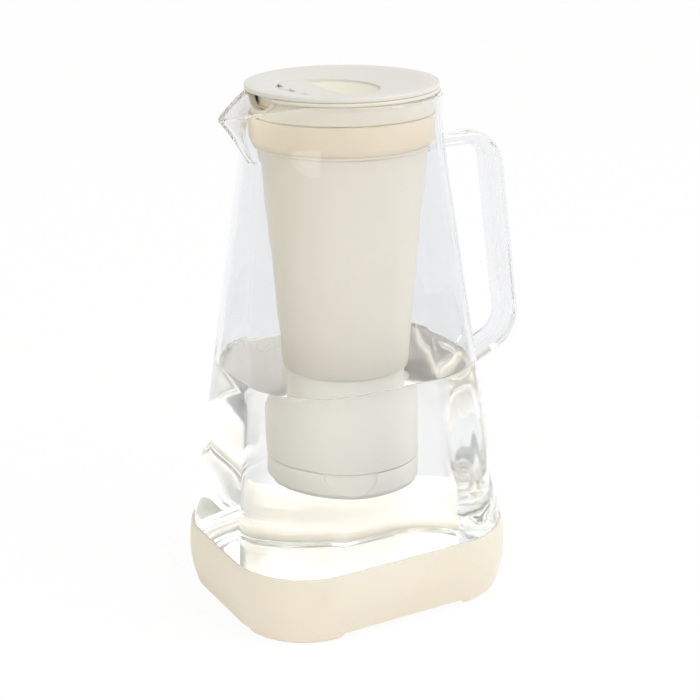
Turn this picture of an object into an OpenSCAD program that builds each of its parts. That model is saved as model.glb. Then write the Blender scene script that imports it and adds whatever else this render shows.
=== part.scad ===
// Water filter pitcher: a glass jug with a spout and a fused glass handle, a silicone boot,
// a filling reservoir that hangs in the neck, a two-stage filter under it and a lid with a flip cover.
// Millimetres, +Z up. The origin is on the neck's axis, on the surface that the pitcher stands on.
// The spout points along -X and the handle along +X.

/* [Glass vessel] */
// Height of the glass rim above the counter
rim_z = 265.5; // [250:0.5:290]
// Outer radius of the round neck
neck_r = 49.2; // [46:0.1:56]
// Height of the straight neck, from the rim down to the body's taper
neck_h = 15.5; // [10:0.5:40]
// Height where the body reaches its full width
wide_z = 36; // [30:1:60]
// Length of the body at its foot, from the spout side to the handle side
foot_x = 151.2; // [130:0.2:190]
// Width of the body at its foot
foot_y = 122.2; // [110:0.2:160]
// Corner radius of the body at its foot
foot_corner = 38.8; // [25:0.2:50]
// Thickness of the glass wall
glass_t = 3; // [2:0.1:4.5]
// Thickness of the glass bottom
glass_floor = 6; // [4:0.5:9]
// Radius between the wall and the bottom
foot_round = 10; // [6:0.5:14]

/* [Spout] */
// Reach of the spout's tip beyond the neck
spout_out = 17.6; // [11:0.2:26]
// Drop of the tip below the rim
spout_drop = 7.4; // [2:0.2:14]
// Height of the spout below the rim
spout_h = 30.5; // [22:0.5:40]
// Roundness of the spout's tip, in degrees of arc
spout_soft = 3; // [1:0.5:6]

/* [Handle] */
// Drop of the upper run's centre line below the rim
handle_drop = 31; // [26:0.5:45]
// Height from the lower corner to the upper one
handle_h = 108; // [90:0.5:125]
// Reach of the upper corner from the glass beside it
handle_top_out = 35.2; // [28:0.2:46]
// Reach of the lower corner from the glass beside it
handle_low_out = 36.6; // [28:0.2:46]
// Slope of the lower run, in degrees
handle_low_tilt = 25; // [5:1:40]
// Radius of the centre line at both corners
handle_bend = 16.5; // [12:0.5:22]
// Thickness of the grip, from palm to fingers
grip_t = 10; // [7:0.2:12]
// Width of the grip
grip_w = 15; // [10:0.2:18]
// Thickness of the upper run
arm_t = 6.6; // [5:0.2:9]
// Width of the upper run
arm_w = 12; // [9:0.2:16]

/* [Boot] */
// Height of the boot's top edge
boot_top_z = 37.5; // [28:0.5:50]
// Thickness of the boot where it is fullest
boot_t = 2.4; // [1.6:0.1:4]
// Height of the fullest line
boot_full_z = 22; // [16:1:26]
// Thickness of the boot under the glass, with the feet
boot_floor = 6; // [5:0.2:9]
// Height of the four feet
foot_h = 4; // [2:0.2:4.4]
// Half length of the arch under the long sides
arch_x = 34.5; // [25:0.5:45]
// Half length of the arch under the short sides
arch_y = 30.5; // [20:0.5:38]

/* [Reservoir] */
// How far the rim flange and the lid stay inside the neck's outer face
rim_inset = 1.2; // [0.4:0.1:2.2]
// Thickness of the rim flange
flange_t = 2.1; // [1.6:0.1:3]
// Thickness of the reservoir's wall
res_t = 2; // [1.5:0.1:3]
// Height of the collar above the seal
collar_h = 9.5; // [8:0.5:12]
// Height of the seal band
band_h = 15; // [10:0.5:18]
// Thickness of the seal band at its top
band_t = 3; // [2:0.1:3.4]
// Depth of the reservoir, from the glass rim to its underside
res_depth = 144.5; // [125:0.5:160]
// Outer radius of the reservoir at its lower end
res_low_r = 31.9; // [31:0.1:36]
// Width of the pouring notch in the reservoir's rim
notch_w = 30; // [20:1:36]
// Depth of the pouring notch
notch_h = 7.5; // [4:0.5:8]

/* [Lid] */
// Thickness of the lid at its rim
lid_t = 2.4; // [2:0.1:3.5]
// Depth of the lid's dished middle
dish_h = 4; // [2:0.2:5]
// Width of the flat ring round the dish
lid_ring = 6; // [4:0.5:9]
// Radius of the round field that holds the cover and the finger scoop
field_r = 25.5; // [22:0.5:27]
// Distance from the neck's axis to the cover's straight edge, on the spout side
chord_x = 7.4; // [5:0.2:10]
// Depth of the finger scoop
scoop_h = 6; // [4:0.5:7]
// Gap around the flip cover
cover_gap = 0.4; // [0.3:0.05:0.6]
// Thickness of the flip cover's edge
cover_t = 1.3; // [1:0.1:2]
// Radius of the hinge knuckles
knuckle_r = 1.9; // [1.7:0.1:2.4]
// Radius of the hinge pin
pin_r = 1; // [0.8:0.05:1.2]

/* [Microfilter] */
// Outer radius of the microfilter
mf_r = 22; // [18:0.5:25]
// Height of the microfilter above the reservoir's floor
mf_h = 74; // [50:1:95]
// Radius of the outlet spigot
spigot_r = 8; // [6:0.25:9]

/* [Carbon cartridge] */
// Outer radius of the cartridge
cart_r = 30.2; // [29.8:0.1:31]
// Length of the cartridge under the reservoir
cart_len = 59; // [50:0.5:75]
// Height of the twist-off cap
cap_h = 14; // [12:0.5:18]
// Width of a thumb recess in the cap
thumb_w = 25; // [15:0.5:27]
// Depth of a thumb recess
thumb_t = 1.1; // [0.6:0.1:1.2]
// Turn that frees the cartridge, in degrees
cart_turn = 40; // [25:1:50]
// Turn that frees the cap, in degrees
cap_turn = 30; // [15:1:35]

/* [Clearances] */
// Gap between the boot and the glass
boot_gap = 0.2; // [0.1:0.05:0.3]
// Gap between the handle's ends and the body's glass
weld_gap = 0.1; // [0.05:0.05:0.2]
// Radial clearance of a part that is pushed in by hand
slip = 0.3; // [0.2:0.05:0.4]
// Radial clearance of a seal against its wall
seal_gap = 0.08; // [0.03:0.01:0.1]
// Radial clearance of the hinge pin in the cover
pin_gap = 0.05; // [0.02:0.01:0.1]

/* [Hidden] */

$fn = 96;
BIG = 400;        // longer than any piece, for cutting tools
EPS = 0.01;       // overlap of two shapes that become one piece

// Colours as photographed
CREAM = [0.93, 0.88, 0.80];
PALE = [0.89, 0.88, 0.86];
SHELL = [0.84, 0.81, 0.74];
BAND = [0.86, 0.80, 0.71];
GLASS = [0.86, 0.90, 0.95, 0.35];
STEEL = [0.70, 0.71, 0.72];
CARBON = [0.12, 0.12, 0.12];

// ---- The vessel's outline -------------------------------------------------------------------

RING = 80;             // points round one ring of the glass
CROWD = 25;            // how much those points crowd towards the spout, in degrees
neck_z = rim_z - neck_h;
spout_reach = neck_r + spout_out;
NECK_SOFT = 6;         // half height of the soft bend between neck and taper
ARC = 5;               // steps in a quarter-round of the vessel
SPOUT_STEPS = 6;       // rings up the spout

glass_low_z = boot_floor;
spout_z = rim_z - spout_h;

// Distance run along the taper below the neck, with a soft start
function run(z) =
    let (d = neck_z - z)
    d < -NECK_SOFT ? 0 : d < NECK_SOFT ? pow(d + NECK_SOFT, 2) / (4 * NECK_SOFT) : d;
function share(z) = min(1, run(z) / (neck_z - wide_z));
function half_x(z) = neck_r + (foot_x / 2 - neck_r) * share(z);
function half_y(z) = neck_r + (foot_y / 2 - neck_r) * share(z);
function corner(z) = neck_r + (foot_corner - neck_r) * share(z);

// Angle of point i of a ring: even steps, drawn in towards the spout at 180 degrees
function ring_angle(i) =
    let (a = (i + 0.5) * 360 / RING)
    a + CROWD * sin(a);
function rounded(z, inset, a) =
    let (r = corner(z) - inset)
    [sign(cos(a)) * (half_x(z) - inset - r) + r * cos(a),
     sign(sin(a)) * (half_y(z) - inset - r) + r * sin(a)];

// The spout is two planes that leave the neck at a tangent and meet in a soft edge.
// Its reach grows from nothing at its root to the full reach at the rim.
function tip(s, inset) = (neck_r + (spout_reach - neck_r) * s) * (1 - inset / neck_r);
function spread(s, inset) = acos((neck_r - inset) / tip(s, inset)) + (s > 0 ? spout_soft : 0);
function off_tip(a) = abs(a - 180);
function reach(s, inset, a) =
    let (u = spread(s, inset) - sqrt(pow(off_tip(a), 2) + pow(spout_soft, 2)))
    s > 0 && u > 0 ? 1 / cos(u) : 1;
// How far the rim has dropped at this angle
function dip(a) =
    let (full = spout_reach / neck_r - 1)
    spout_drop * pow((reach(1, 0, a) - 1) / full, 0.7);

function body_ring(z, inset) =
    [for (i = [0 : RING - 1]) let (p = rounded(z, inset, ring_angle(i))) [p.x, p.y, z]];
// A ring at share s of the spout's height, lowered by drop at the rim
function spout_ring(s, inset, drop) =
    [for (i = [0 : RING - 1])
        let (a = ring_angle(i),
             z = spout_z + (rim_z - dip(a) - glass_t / 2 - spout_z) * s + drop,
             p = rounded(z, inset, a),
             k = reach(s, inset, a))
        [p.x * k, p.y * k, z]];

// Joins closed rings of n points into one closed skin. The first and last rings are capped flat.
function skin_faces(rings, n) = concat(
    [[for (i = [0 : n - 1]) i]],
    [for (j = [0 : rings - 2], i = [0 : n - 1])
        [j * n + i, (j + 1) * n + i, (j + 1) * n + (i + 1) % n, j * n + (i + 1) % n]],
    [[for (i = [n - 1 : -1 : 0]) (rings - 1) * n + i]]);
module skin(rings) {
    points = [for (r = rings, p = r) p];
    polyhedron(points, skin_faces(len(rings), len(rings[0])), convexity = 6);
}

// ---- Glass ----------------------------------------------------------------------------------

// Fillet of radius r that ends at height z: rings from the flat bottom up to the wall
function fillet(z, r, inset, up) =
    [for (k = [0 : ARC])
        let (a = (up ? k : ARC - k) * 90 / ARC)
        body_ring(z + r * (1 - cos(a)), inset + r * (1 - sin(a)))];

module glass_body() {
    shares = [for (k = [0 : SPOUT_STEPS]) k / SPOUT_STEPS];
    lip = [for (a = [30 : 30 : 150]) [glass_t / 2 * (1 - cos(a)), glass_t / 2 * sin(a)]];
    inner_round = foot_round - glass_t;
    color(GLASS) skin(concat(
        fillet(glass_low_z, foot_round, 0, true),
        [body_ring(wide_z, 0)],
        [for (s = shares) spout_ring(s, 0, 0)],
        [for (p = lip) spout_ring(1, p.x, p.y)],
        [for (k = [SPOUT_STEPS : -1 : 0]) spout_ring(shares[k], glass_t, 0)],
        [body_ring(wide_z, glass_t)],
        fillet(glass_low_z + glass_floor, inner_round, glass_t, false)));
}

// ---- Handle ---------------------------------------------------------------------------------

HANDLE_SIDES = 20;     // points round the handle's section
BEND_STEPS = 8;        // rings round one corner

// Outer face of the glass on the handle side, at height z and distance y from the middle
function glass_face(y, z) =
    let (flat = half_y(z) - corner(z), over = max(0, abs(y) - flat))
    half_x(z) - corner(z) + sqrt(pow(corner(z), 2) - over * over);

handle_top_z = rim_z - handle_drop;
handle_low_z = handle_top_z - handle_h;
handle_top_x = half_x(handle_top_z) + handle_top_out;
handle_low_x = half_x(handle_low_z) + handle_low_out;
low_run = [cos(handle_low_tilt), sin(handle_low_tilt)];
top_corner = [handle_top_x, handle_top_z];
low_corner = [handle_low_x, handle_low_z];
grip_run = (low_corner - top_corner) / norm(low_corner - top_corner);
top_turn = acos(grip_run.x);
low_turn = acos(-(grip_run * low_run));

// Centre of the bend at a corner, between the run that comes in and the one that goes out
function bend_centre(c, before, turn) =
    let (side = [before.y, -before.x])
    c - before * handle_bend * tan(turn / 2) + side * handle_bend;
function bend_point(c, before, turn, k) =
    let (m = bend_centre(c, before, turn), a = turn * k / BEND_STEPS,
         side = [before.y, -before.x])
    [m - side * handle_bend * cos(a) + before * handle_bend * sin(a),
     before * cos(a) + side * sin(a)];

// One station is a centre, a direction and a share: 0 on the upper run, 1 on the grip
top_stations = [for (k = [0 : BEND_STEPS])
    concat(bend_point(top_corner, [1, 0], top_turn, k), k / BEND_STEPS)];
low_stations = [for (k = [0 : BEND_STEPS])
    concat(bend_point(low_corner, grip_run, low_turn, k), 1)];
top_arm_x = top_stations[0][0].x;
arm_stations = [for (k = [1 : 3])
    [[half_x(handle_top_z) + (top_arm_x - half_x(handle_top_z)) * k / 4, handle_top_z], [1, 0], 0]];

// Rounded rectangle of the section: point i, for a thickness t and a width w
function section(i, t, w) =
    let (r = 0.32 * t, a = (i + 0.5) * 360 / HANDLE_SIDES)
    [sign(cos(a)) * (t / 2 - r) + r * cos(a), sign(sin(a)) * (w / 2 - r) + r * sin(a)];
function station_ring(s) =
    let (t = arm_t + (grip_t - arm_t) * s[2], w = arm_w + (grip_w - arm_w) * s[2],
         up = [-s[1].y, s[1].x])
    [for (i = [0 : HANDLE_SIDES - 1]) let (q = section(i, t, w), p = s[0] + up * q.x)
        [p.x, -q.y, p.y]];
// An end ring lies on the glass and flares a little where it is fused
FLARE = 1.35;
// Further rings, drawn in to these shares, keep the end's face on the glass
END_SHARES = [1, 0.7, 0.35, 0.05];
function end_ring(t, w, mid_z, rise, k) =
    [for (i = [0 : HANDLE_SIDES - 1])
        let (q = section(i, t, w) * k, z = mid_z + q.x * rise)
        [glass_face(q.y, z) + weld_gap, -q.y, z]];
// Height where the lower run's centre line meets the glass
low_leave = low_stations[BEND_STEPS][0];
taper = (half_x(wide_z) - neck_r) / (neck_z - wide_z);
low_end_z = low_leave.y - (low_leave.x - half_x(low_leave.y))
    / (1 / tan(handle_low_tilt) + taper);

module glass_handle() {
    near = [low_leave - low_run * (norm([low_leave.x - half_x(low_end_z),
                                         low_leave.y - low_end_z]) - 4), -low_run, 1];
    color(GLASS) skin(concat(
        [for (k = [3 : -1 : 0])
            end_ring(arm_t * FLARE, arm_w * FLARE, handle_top_z, 1, END_SHARES[k])],
        [for (s = arm_stations) station_ring(s)],
        [for (s = top_stations) station_ring(s)],
        [for (s = low_stations) station_ring(s)],
        [station_ring(near)],
        [for (k = END_SHARES)
            end_ring(grip_t * FLARE, grip_w, low_end_z, -1 / cos(handle_low_tilt), k)]));
}

// ---- Boot -----------------------------------------------------------------------------------

BOOT_STEPS = 5;        // rings up each half of the boot's side
boot_inset = 2.5;      // how far the boot draws in towards its lower edge
boot_edge = 5;         // radius of its lower edge
boot_lip = 1.2;        // thickness of its top edge
ramp = 4;              // length of the slope at the end of an arch

function swell(z) =
    z < boot_full_z ? boot_t - (boot_t + boot_inset) * pow((boot_full_z - z) / boot_full_z, 2)
    : boot_t - (boot_t - boot_lip) * pow((z - boot_full_z) / (boot_top_z - boot_full_z), 2);

module base_boot() {
    under = [for (k = [0 : 3]) let (a = k * 30)
        [swell(boot_edge) - boot_edge * (1 - sin(a)), boot_edge * (1 - cos(a))]];
    side = [for (k = [1 : BOOT_STEPS])
        boot_edge + (boot_full_z - boot_edge) * k / BOOT_STEPS];
    upper = [for (k = [1 : BOOT_STEPS])
        boot_full_z + (boot_top_z - 0.6 - boot_full_z) * k / BOOT_STEPS];
    color(CREAM) difference() {
        skin(concat(
            [for (p = under) body_ring(p.y, -p.x)],
            [for (z = concat(side, upper)) body_ring(z, -swell(z))],
            [body_ring(boot_top_z, -0.7 * boot_lip), body_ring(boot_top_z - 0.4, -boot_gap)],
            fillet(glass_low_z, foot_round, -boot_gap, false)));
        arch(arch_x, [90, 0, 0]);
        arch(arch_y, [90, 0, 90]);
    }
}
// Channel under the boot that leaves a foot at each corner
module arch(half, turn) {
    rotate(turn) linear_extrude(BIG, center = true)
        polygon([[-half - ramp * 1.5, -foot_h / 2], [-half, foot_h], [half, foot_h],
                 [half + ramp * 1.5, -foot_h / 2]]);
}

// ---- Reservoir ------------------------------------------------------------------------------

neck_in_r = neck_r - glass_t;
flange_r = neck_r - rim_inset;
band_r = neck_in_r - seal_gap;
band_in_r = band_r - band_t;
collar_r = neck_in_r - 1;
band_top_z = rim_z - collar_h;
band_low_z = band_top_z - band_h;
flange_top_z = rim_z + flange_t;
res_top_r = band_in_r - 1.6;
res_low_z = rim_z - res_depth;
res_floor_z = res_low_z + 2.4;

BOSS_R = 11;           // radius of the outlet boss under the reservoir
BOSS_H = 10;           // its length
bayonet_r = cart_r - 6.7;
bayonet_h = 8.5;       // its length
lug_w = 14;            // width of a bayonet lug, in degrees
lug_h = 2.5;           // height of a lug
lug_t = 1.7;           // how far a lug stands out

module reservoir() {
    color(SHELL) difference() {
        union() {
            rotate_extrude() polygon([
                [0, res_low_z], [res_low_r - 2.2, res_low_z], [res_low_r - 0.7, res_low_z + 0.6],
                [res_low_r, res_low_z + 2.2], [res_top_r, band_low_z - 5],
                [res_top_r + 0.6, band_low_z - 1.8], [band_in_r + 0.9, band_low_z - 1.2],
                [band_in_r + 0.9, band_low_z], [band_in_r, band_low_z], [band_in_r, band_top_z],
                [collar_r, band_top_z], [collar_r, rim_z - 1.2], [collar_r + 0.7, rim_z],
                [flange_r, rim_z], [flange_r, flange_top_z - 0.5], [flange_r - 0.5, flange_top_z],
                [collar_r - res_t, flange_top_z], [collar_r - res_t, band_top_z - 2],
                [band_in_r - res_t, band_top_z - 5], [band_in_r - res_t, band_low_z],
                [res_top_r - res_t, band_low_z - 5], [res_low_r - res_t, res_floor_z + 3],
                [res_low_r - res_t - 3, res_floor_z], [0, res_floor_z]]);
            notch_lip();
            translate([0, 0, res_low_z - BOSS_H]) cylinder(h = BOSS_H + EPS, r = BOSS_R);
            bayonet_ring();
        }
        notch_cut(0);
        translate([0, 0, res_low_z - BIG / 2]) cylinder(h = BIG, r = spigot_r + 0.5);
        translate([0, 0, o_ring_z]) ring_groove(BOSS_R, o_ring_t);
    }
}

// The notch in the rim is a cylinder that lies along X
notch_r = (pow(notch_w / 2, 2) + pow(notch_h, 2)) / (2 * notch_h);
module notch_cut(grow) {
    translate([-BIG / 2 - collar_r / 2, 0, flange_top_z + notch_r - notch_h]) rotate([0, 90, 0])
        cylinder(h = BIG, r = notch_r + grow, center = true);
}
// A thin lip runs round the notch
module notch_lip() {
    intersection() {
        translate([0, 0, rim_z - notch_h]) difference() {
            cylinder(h = notch_h + EPS, r = neck_in_r + 0.2);
            translate([0, 0, -1]) cylinder(h = notch_h + 2, r = collar_r - 0.5);
        }
        notch_cut(1.3);
    }
}

// Ring with three lugs that the cartridge's slots turn on to
module bayonet_ring() {
    translate([0, 0, res_low_z - bayonet_h]) {
        difference() {
            cylinder(h = bayonet_h + EPS, r = bayonet_r);
            translate([0, 0, -1]) cylinder(h = bayonet_h + 1, r = bayonet_r - 2);
        }
        lugs(bayonet_r, lug_t, lug_h, lug_w);
    }
}
module lugs(r, t, h, w) {
    for (a = [60, 180, 300]) rotate(a - w / 2) sector(r - 0.5, r + t, h, w);
}
module sector(r1, r2, h, angle) {
    rotate_extrude(angle = angle) translate([r1, 0]) square([r2 - r1, h]);
}
module ring_groove(r, t) {
    rotate_extrude() translate([r - t + 0.3, -t / 2 - 0.1]) square([t, t + 0.2]);
}

module reservoir_seal() {
    color(BAND) rotate_extrude() polygon([
        [band_in_r + 0.05, band_low_z], [band_in_r + 1, band_low_z],
        [band_r - 1.1, band_low_z + 1.2], [band_r - 0.45, band_low_z + 3],
        [band_r - 0.1, band_low_z + 6], [band_r, band_low_z + 9],
        [band_r, band_top_z - 0.9], [band_r - 0.4, band_top_z - 0.25],
        [band_r - 0.9, band_top_z], [band_in_r + 0.05, band_top_z]]);
}

// ---- Lid ------------------------------------------------------------------------------------

lid_low_z = flange_top_z;
lid_r = flange_r;
dish_r = lid_r - lid_ring;
lid_top_z = lid_low_z + lid_t;
dish_low_z = lid_top_z - dish_h;
DISH_STEPS = 8;
skirt_r = collar_r - res_t - 1.5;
skirt_h = 10;
hinge_x = -chord_x - field_r + 3.3;
hinge_z = dish_z(-hinge_x) - knuckle_r;
scoop_R = (field_r * field_r + scoop_h * scoop_h) / (2 * scoop_h);
wall_set = 3.2;        // how far the scoop runs under the cover's edge
ledge_w = 1.8;         // width of the ledge that carries the cover
root_gap = 1.7;        // gap from the knuckles to the cover's plate, which lets it swing past upright
lid_knuckle = 7.6;     // length of the lid's middle knuckle
end_knuckle = 5;       // length of the lid's knuckle at each end
cover_knuckle = 5.8;   // length of each of the cover's two knuckles
side_gap = 0.3;        // gap between two knuckles along the pin
pin_len = 30;
// Start of the cover's knuckle, and of the lid's end knuckle, from the middle
cover_from = lid_knuckle / 2 + side_gap;
end_from = cover_from + cover_knuckle + side_gap;

function dish_z(r) = dish_low_z + dish_h * pow(min(1, r / dish_r), 2);
dish_line = [for (k = [0 : DISH_STEPS]) let (r = dish_r * k / DISH_STEPS) [r, dish_z(r)]];
function lowered(line, h) = [for (k = [len(line) - 1 : -1 : 0]) [line[k].x, line[k].y - h]];

module lid() {
    color(PALE) difference() {
        union() {
            difference() {
                lid_shell();
                intersection() {
                    field_cut();
                    below_x(-chord_x);
                }
            }
            ledge();
            scoop_wall();
            knuckles(-lid_knuckle / 2, lid_knuckle, 2.8);
            knuckles(end_from, end_knuckle, 1.2);
            knuckles(-end_from - end_knuckle, end_knuckle, 1.2);
        }
        scoop();
        knuckle_room();
        hinge_hole(pin_r, pin_len + 10);
    }
}
// The dished plate with its raised rim and the skirt that goes down into the collar
module lid_shell() {
    rotate_extrude() polygon(concat(
        dish_line,
        [[dish_r + 1.5, lid_top_z], [lid_r - 0.9, lid_top_z], [lid_r - 0.25, lid_top_z - 0.3],
         [lid_r, lid_top_z - 0.9], [lid_r, lid_low_z + 0.3], [lid_r - 0.4, lid_low_z],
         [skirt_r, lid_low_z], [skirt_r, lid_low_z - skirt_h],
         [skirt_r - 1.6, lid_low_z - skirt_h]],
        [[skirt_r - 1.6, lid_low_z - 0.6]],
        lowered([for (p = dish_line) if (p.x < skirt_r - 2) p], lid_t)));
}
// Opening for the cover: the lower part of its edge leans away so that the cover swings clear
module field_cut() {
    translate([-chord_x, 0, 0]) {
        translate([0, 0, lid_low_z - 6]) cylinder(h = 20, r = field_r);
        translate([0, 0, lid_low_z - 6]) cylinder(h = 6, r1 = field_r + 1.2, r2 = field_r + 0.2);
    }
}
module below_x(x) {
    translate([x - BIG, -BIG / 2, -BIG / 2]) cube([BIG, BIG, 2 * BIG]);
}
module above_x(x) {
    translate([x, -BIG / 2, -BIG / 2]) cube([BIG, BIG, 2 * BIG]);
}
// Plate that follows the dish, from top to bottom below its surface
module dish_plate(top, bottom) {
    rotate_extrude() polygon(concat(
        [for (p = dish_line) [p.x, p.y - top]], lowered(dish_line, bottom)));
}
// Ledge under the cover's round edge, clear of the hinge
module ledge() {
    intersection() {
        translate([-chord_x, 0, lid_low_z - 8]) difference() {
            cylinder(h = 12, r = field_r + 2);
            translate([0, 0, -1]) cylinder(h = 14, r = field_r - ledge_w);
        }
        dish_plate(cover_t + 0.3, cover_t + 1.9);
        below_x(-chord_x - 0.5);
        above_x(hinge_x + 7);
    }
}
// Bowl for the fingertip, with its end wall set back under the cover
module scoop_ball(grow) {
    translate([-chord_x, 0, dish_z(chord_x) - scoop_h + scoop_R])
        sphere(r = scoop_R + grow, $fn = 160);
}
module scoop() {
    intersection() {
        scoop_ball(0);
        translate([-chord_x, 0, lid_low_z - 20]) cylinder(h = 30, r = field_r);
        above_x(-chord_x - wall_set);
    }
}
module scoop_wall() {
    intersection() {
        scoop_ball(1.8);
        translate([-chord_x, 0, lid_low_z - 20]) cylinder(h = 30, r = field_r + 1.8);
        above_x(-chord_x - wall_set - 1.8);
        union() {
            dish_plate(cover_t + 0.3, 14);
            intersection() {
                dish_plate(0, 14);
                above_x(-chord_x + cover_gap);
            }
        }
    }
}

// One hinge knuckle from the given distance along Y. The lid's own reach back into its plate,
// past their round side by the given distance. The cover's reach forward to the cover.
module knuckles(from, length, back = 0) {
    translate([hinge_x, from, hinge_z]) rotate([-90, 0, 0]) linear_extrude(length) {
        circle(r = knuckle_r);
        if (back > 0) translate([-knuckle_r - back, -knuckle_r * 0.9])
            square([knuckle_r + back, knuckle_r * 1.5]);
        else translate([0, -knuckle_r]) square([knuckle_r + root_gap + 0.8, cover_t + 0.5]);
    }
}
// Room around the cover's two knuckles
module knuckle_room() {
    for (y = [lid_knuckle / 2, -end_from])
        translate([hinge_x - knuckle_r - cover_gap, y, lid_low_z - 8])
            cube([2 * knuckle_r + 2, cover_knuckle + 2 * side_gap, 20]);
}
module hinge_hole(r, length) {
    translate([hinge_x, 0, hinge_z]) rotate([90, 0, 0]) cylinder(h = length, r = r, center = true);
}

module flip_cover() {
    color(PALE) difference() {
        union() {
            intersection() {
                translate([-chord_x, 0, lid_low_z - 20]) cylinder(h = 30, r = field_r - cover_gap);
                below_x(-chord_x);
                above_x(hinge_x + knuckle_r + root_gap);
                dish_plate(0, cover_t);
            }
            // a thicker middle that drops into the fill opening
            intersection() {
                translate([-chord_x, 0, lid_low_z - 20])
                    cylinder(h = 30, r = field_r - ledge_w - 1.4);
                below_x(-chord_x - wall_set - 2.6);
                above_x(hinge_x + knuckle_r + root_gap + 1);
                dish_plate(cover_t - EPS, cover_t + 1);
            }
            knuckles(cover_from, cover_knuckle);
            knuckles(-cover_from - cover_knuckle, cover_knuckle);
        }
        hinge_hole(pin_r + pin_gap, pin_len + 10);
    }
}

module hinge_pin() {
    color(STEEL) hinge_hole(pin_r, pin_len);
}

module lid_seal() {
    seal_in = skirt_r + 0.05;
    seal_out = collar_r - res_t - seal_gap;
    color(BAND) translate([0, 0, lid_low_z - skirt_h + 0.6]) rotate_extrude() polygon([
        [seal_in, 0], [seal_in + 0.6, 0], [seal_out, 0.9], [seal_out, 1.5], [seal_in + 0.6, 1.5],
        [seal_out, 2.4], [seal_out, 3], [seal_in + 0.6, 3.2], [seal_in, 3.2]]);
}

// ---- Microfilter ----------------------------------------------------------------------------

mf_t = 1.5;
mf_low_z = res_floor_z;
mf_top_z = mf_low_z + mf_h;
pot_low_z = mf_low_z + 3;
pot_h = 5;
o_ring_t = 1.9;
o_ring_z = res_low_z - 5;
spigot_low_z = res_low_z - BOSS_H + 1;
mf_ring_z = res_low_z - 3;

module microfilter_housing() {
    color(SHELL) difference() {
        union() {
            rotate_extrude() polygon([
                [0, mf_low_z], [mf_r + 1.4, mf_low_z], [mf_r + 1.4, mf_low_z + 2], [mf_r, mf_low_z + 3],
                [mf_r, mf_top_z - 3], [mf_r - mf_t, mf_top_z - 3], [mf_r - mf_t, pot_low_z],
                [0, pot_low_z]]);
            translate([0, 0, spigot_low_z]) cylinder(h = mf_low_z - spigot_low_z + EPS, r = spigot_r);
            for (a = [0 : 45 : 315]) rotate(a) translate([mf_r - 0.3, -0.8, mf_low_z + 2])
                cube([1.1, 1.6, mf_h - 12]);
        }
        translate([0, 0, spigot_low_z - 1]) cylinder(h = 30, r = spigot_r - 3);
        translate([0, 0, mf_ring_z]) ring_groove(spigot_r, 1.6);
    }
}
module microfilter_cap() {
    color(PALE) difference() {
        rotate_extrude() polygon([
            [0, mf_top_z - 3], [mf_r - mf_t - 1.6, mf_top_z - 3], [mf_r - mf_t - 1.6, mf_top_z - 8],
            [mf_r - mf_t - 0.1, mf_top_z - 8], [mf_r - mf_t - 0.1, mf_top_z - 3],
            [mf_r, mf_top_z - 3], [mf_r, mf_top_z - 1], [mf_r - 1, mf_top_z], [0, mf_top_z]]);
        // inlet slots between the hub and the rim
        for (a = [0 : 30 : 330]) rotate(a) translate([7, -1.1, mf_top_z - 10])
            cube([9.5, 2.2, 20]);
        // grip on both sides of a raised bar
        for (y = [0, 180]) rotate(y) translate([-5, 0.9, mf_top_z - 1.2]) cube([10, 3, 5]);
    }
}
module potting_disc() {
    color("ivory") translate([0, 0, pot_low_z]) cylinder(h = pot_h, r = mf_r - mf_t - 0.05);
}
// Strands of hollow fibre stand in the potting, in rings round one in the middle
module fibre_bundle() {
    strand_r = 1.8;
    strand_h = mf_top_z - 10 - pot_low_z - pot_h;
    color("white") translate([0, 0, pot_low_z + pot_h]) for (ring = [0 : 3])
        for (k = [0 : max(1, 6 * ring) - 1]) rotate(k * 360 / max(1, 6 * ring))
            translate([ring * (mf_r - mf_t - strand_r - 0.4) / 3, 0])
                cylinder(h = strand_h - ring * 1.5, r = strand_r, $fn = 24);
}
module o_ring(r, t) {
    rotate_extrude() translate([r - t / 2, 0]) circle(d = t, $fn = 32);
}
module microfilter_o_ring() {
    color(CARBON) translate([0, 0, mf_ring_z]) o_ring(spigot_r + 0.5 - seal_gap, 1.6);
}

// ---- Carbon cartridge -----------------------------------------------------------------------

cart_low_z = res_low_z - cart_len;
cart_top_z = res_low_z - 0.3;
cap_top_z = cart_low_z + cap_h;
cart_in_r = bayonet_r + slip;
plate_z = res_low_z - BOSS_H - 2.3;
plate_t = 2;
socket_r = BOSS_R + 0.45;
neck_out_r = cart_r - 2.8;
neck_in = neck_out_r - 1.6;
neck_low_z = cap_top_z - 8;
cap_lug_t = 0.8;
cap_lug_h = 2;
cap_lug_w = 9;
media_r = neck_in - 0.3;
felt_t = 2;

// Turns its children to the places of the three lugs
module three() {
    for (a = [60, 180, 300]) rotate(a) children();
}
// Height and depth of the groove that a ring of lugs turns in
slot_low_z = res_low_z - bayonet_h - 0.3;
slot_r = bayonet_r + lug_t + slip;
cap_slot_low_z = neck_low_z + 0.1;
cap_slot_r = neck_out_r + cap_lug_t + 0.2;

// Ways into a groove for the three lugs, from above, reached by turning through turn
module ways_in(r_in, r_out, low_z, lug, turn) {
    width = 2 * r_out * sin(lug / 2 + 1);
    three() rotate(turn + lug / 2) translate([r_in - 1, -width / 2, low_z])
        cube([r_out - r_in + 0.6, width, 40]);
}
// Stops beside the lugs at their locked end
module stops(r_in, r_out, low_z, h, lug) {
    three() rotate(-lug / 2 - 4) translate([r_in + 0.1, -1, low_z])
        cube([r_out - r_in + 0.2, 2, h]);
}

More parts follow.
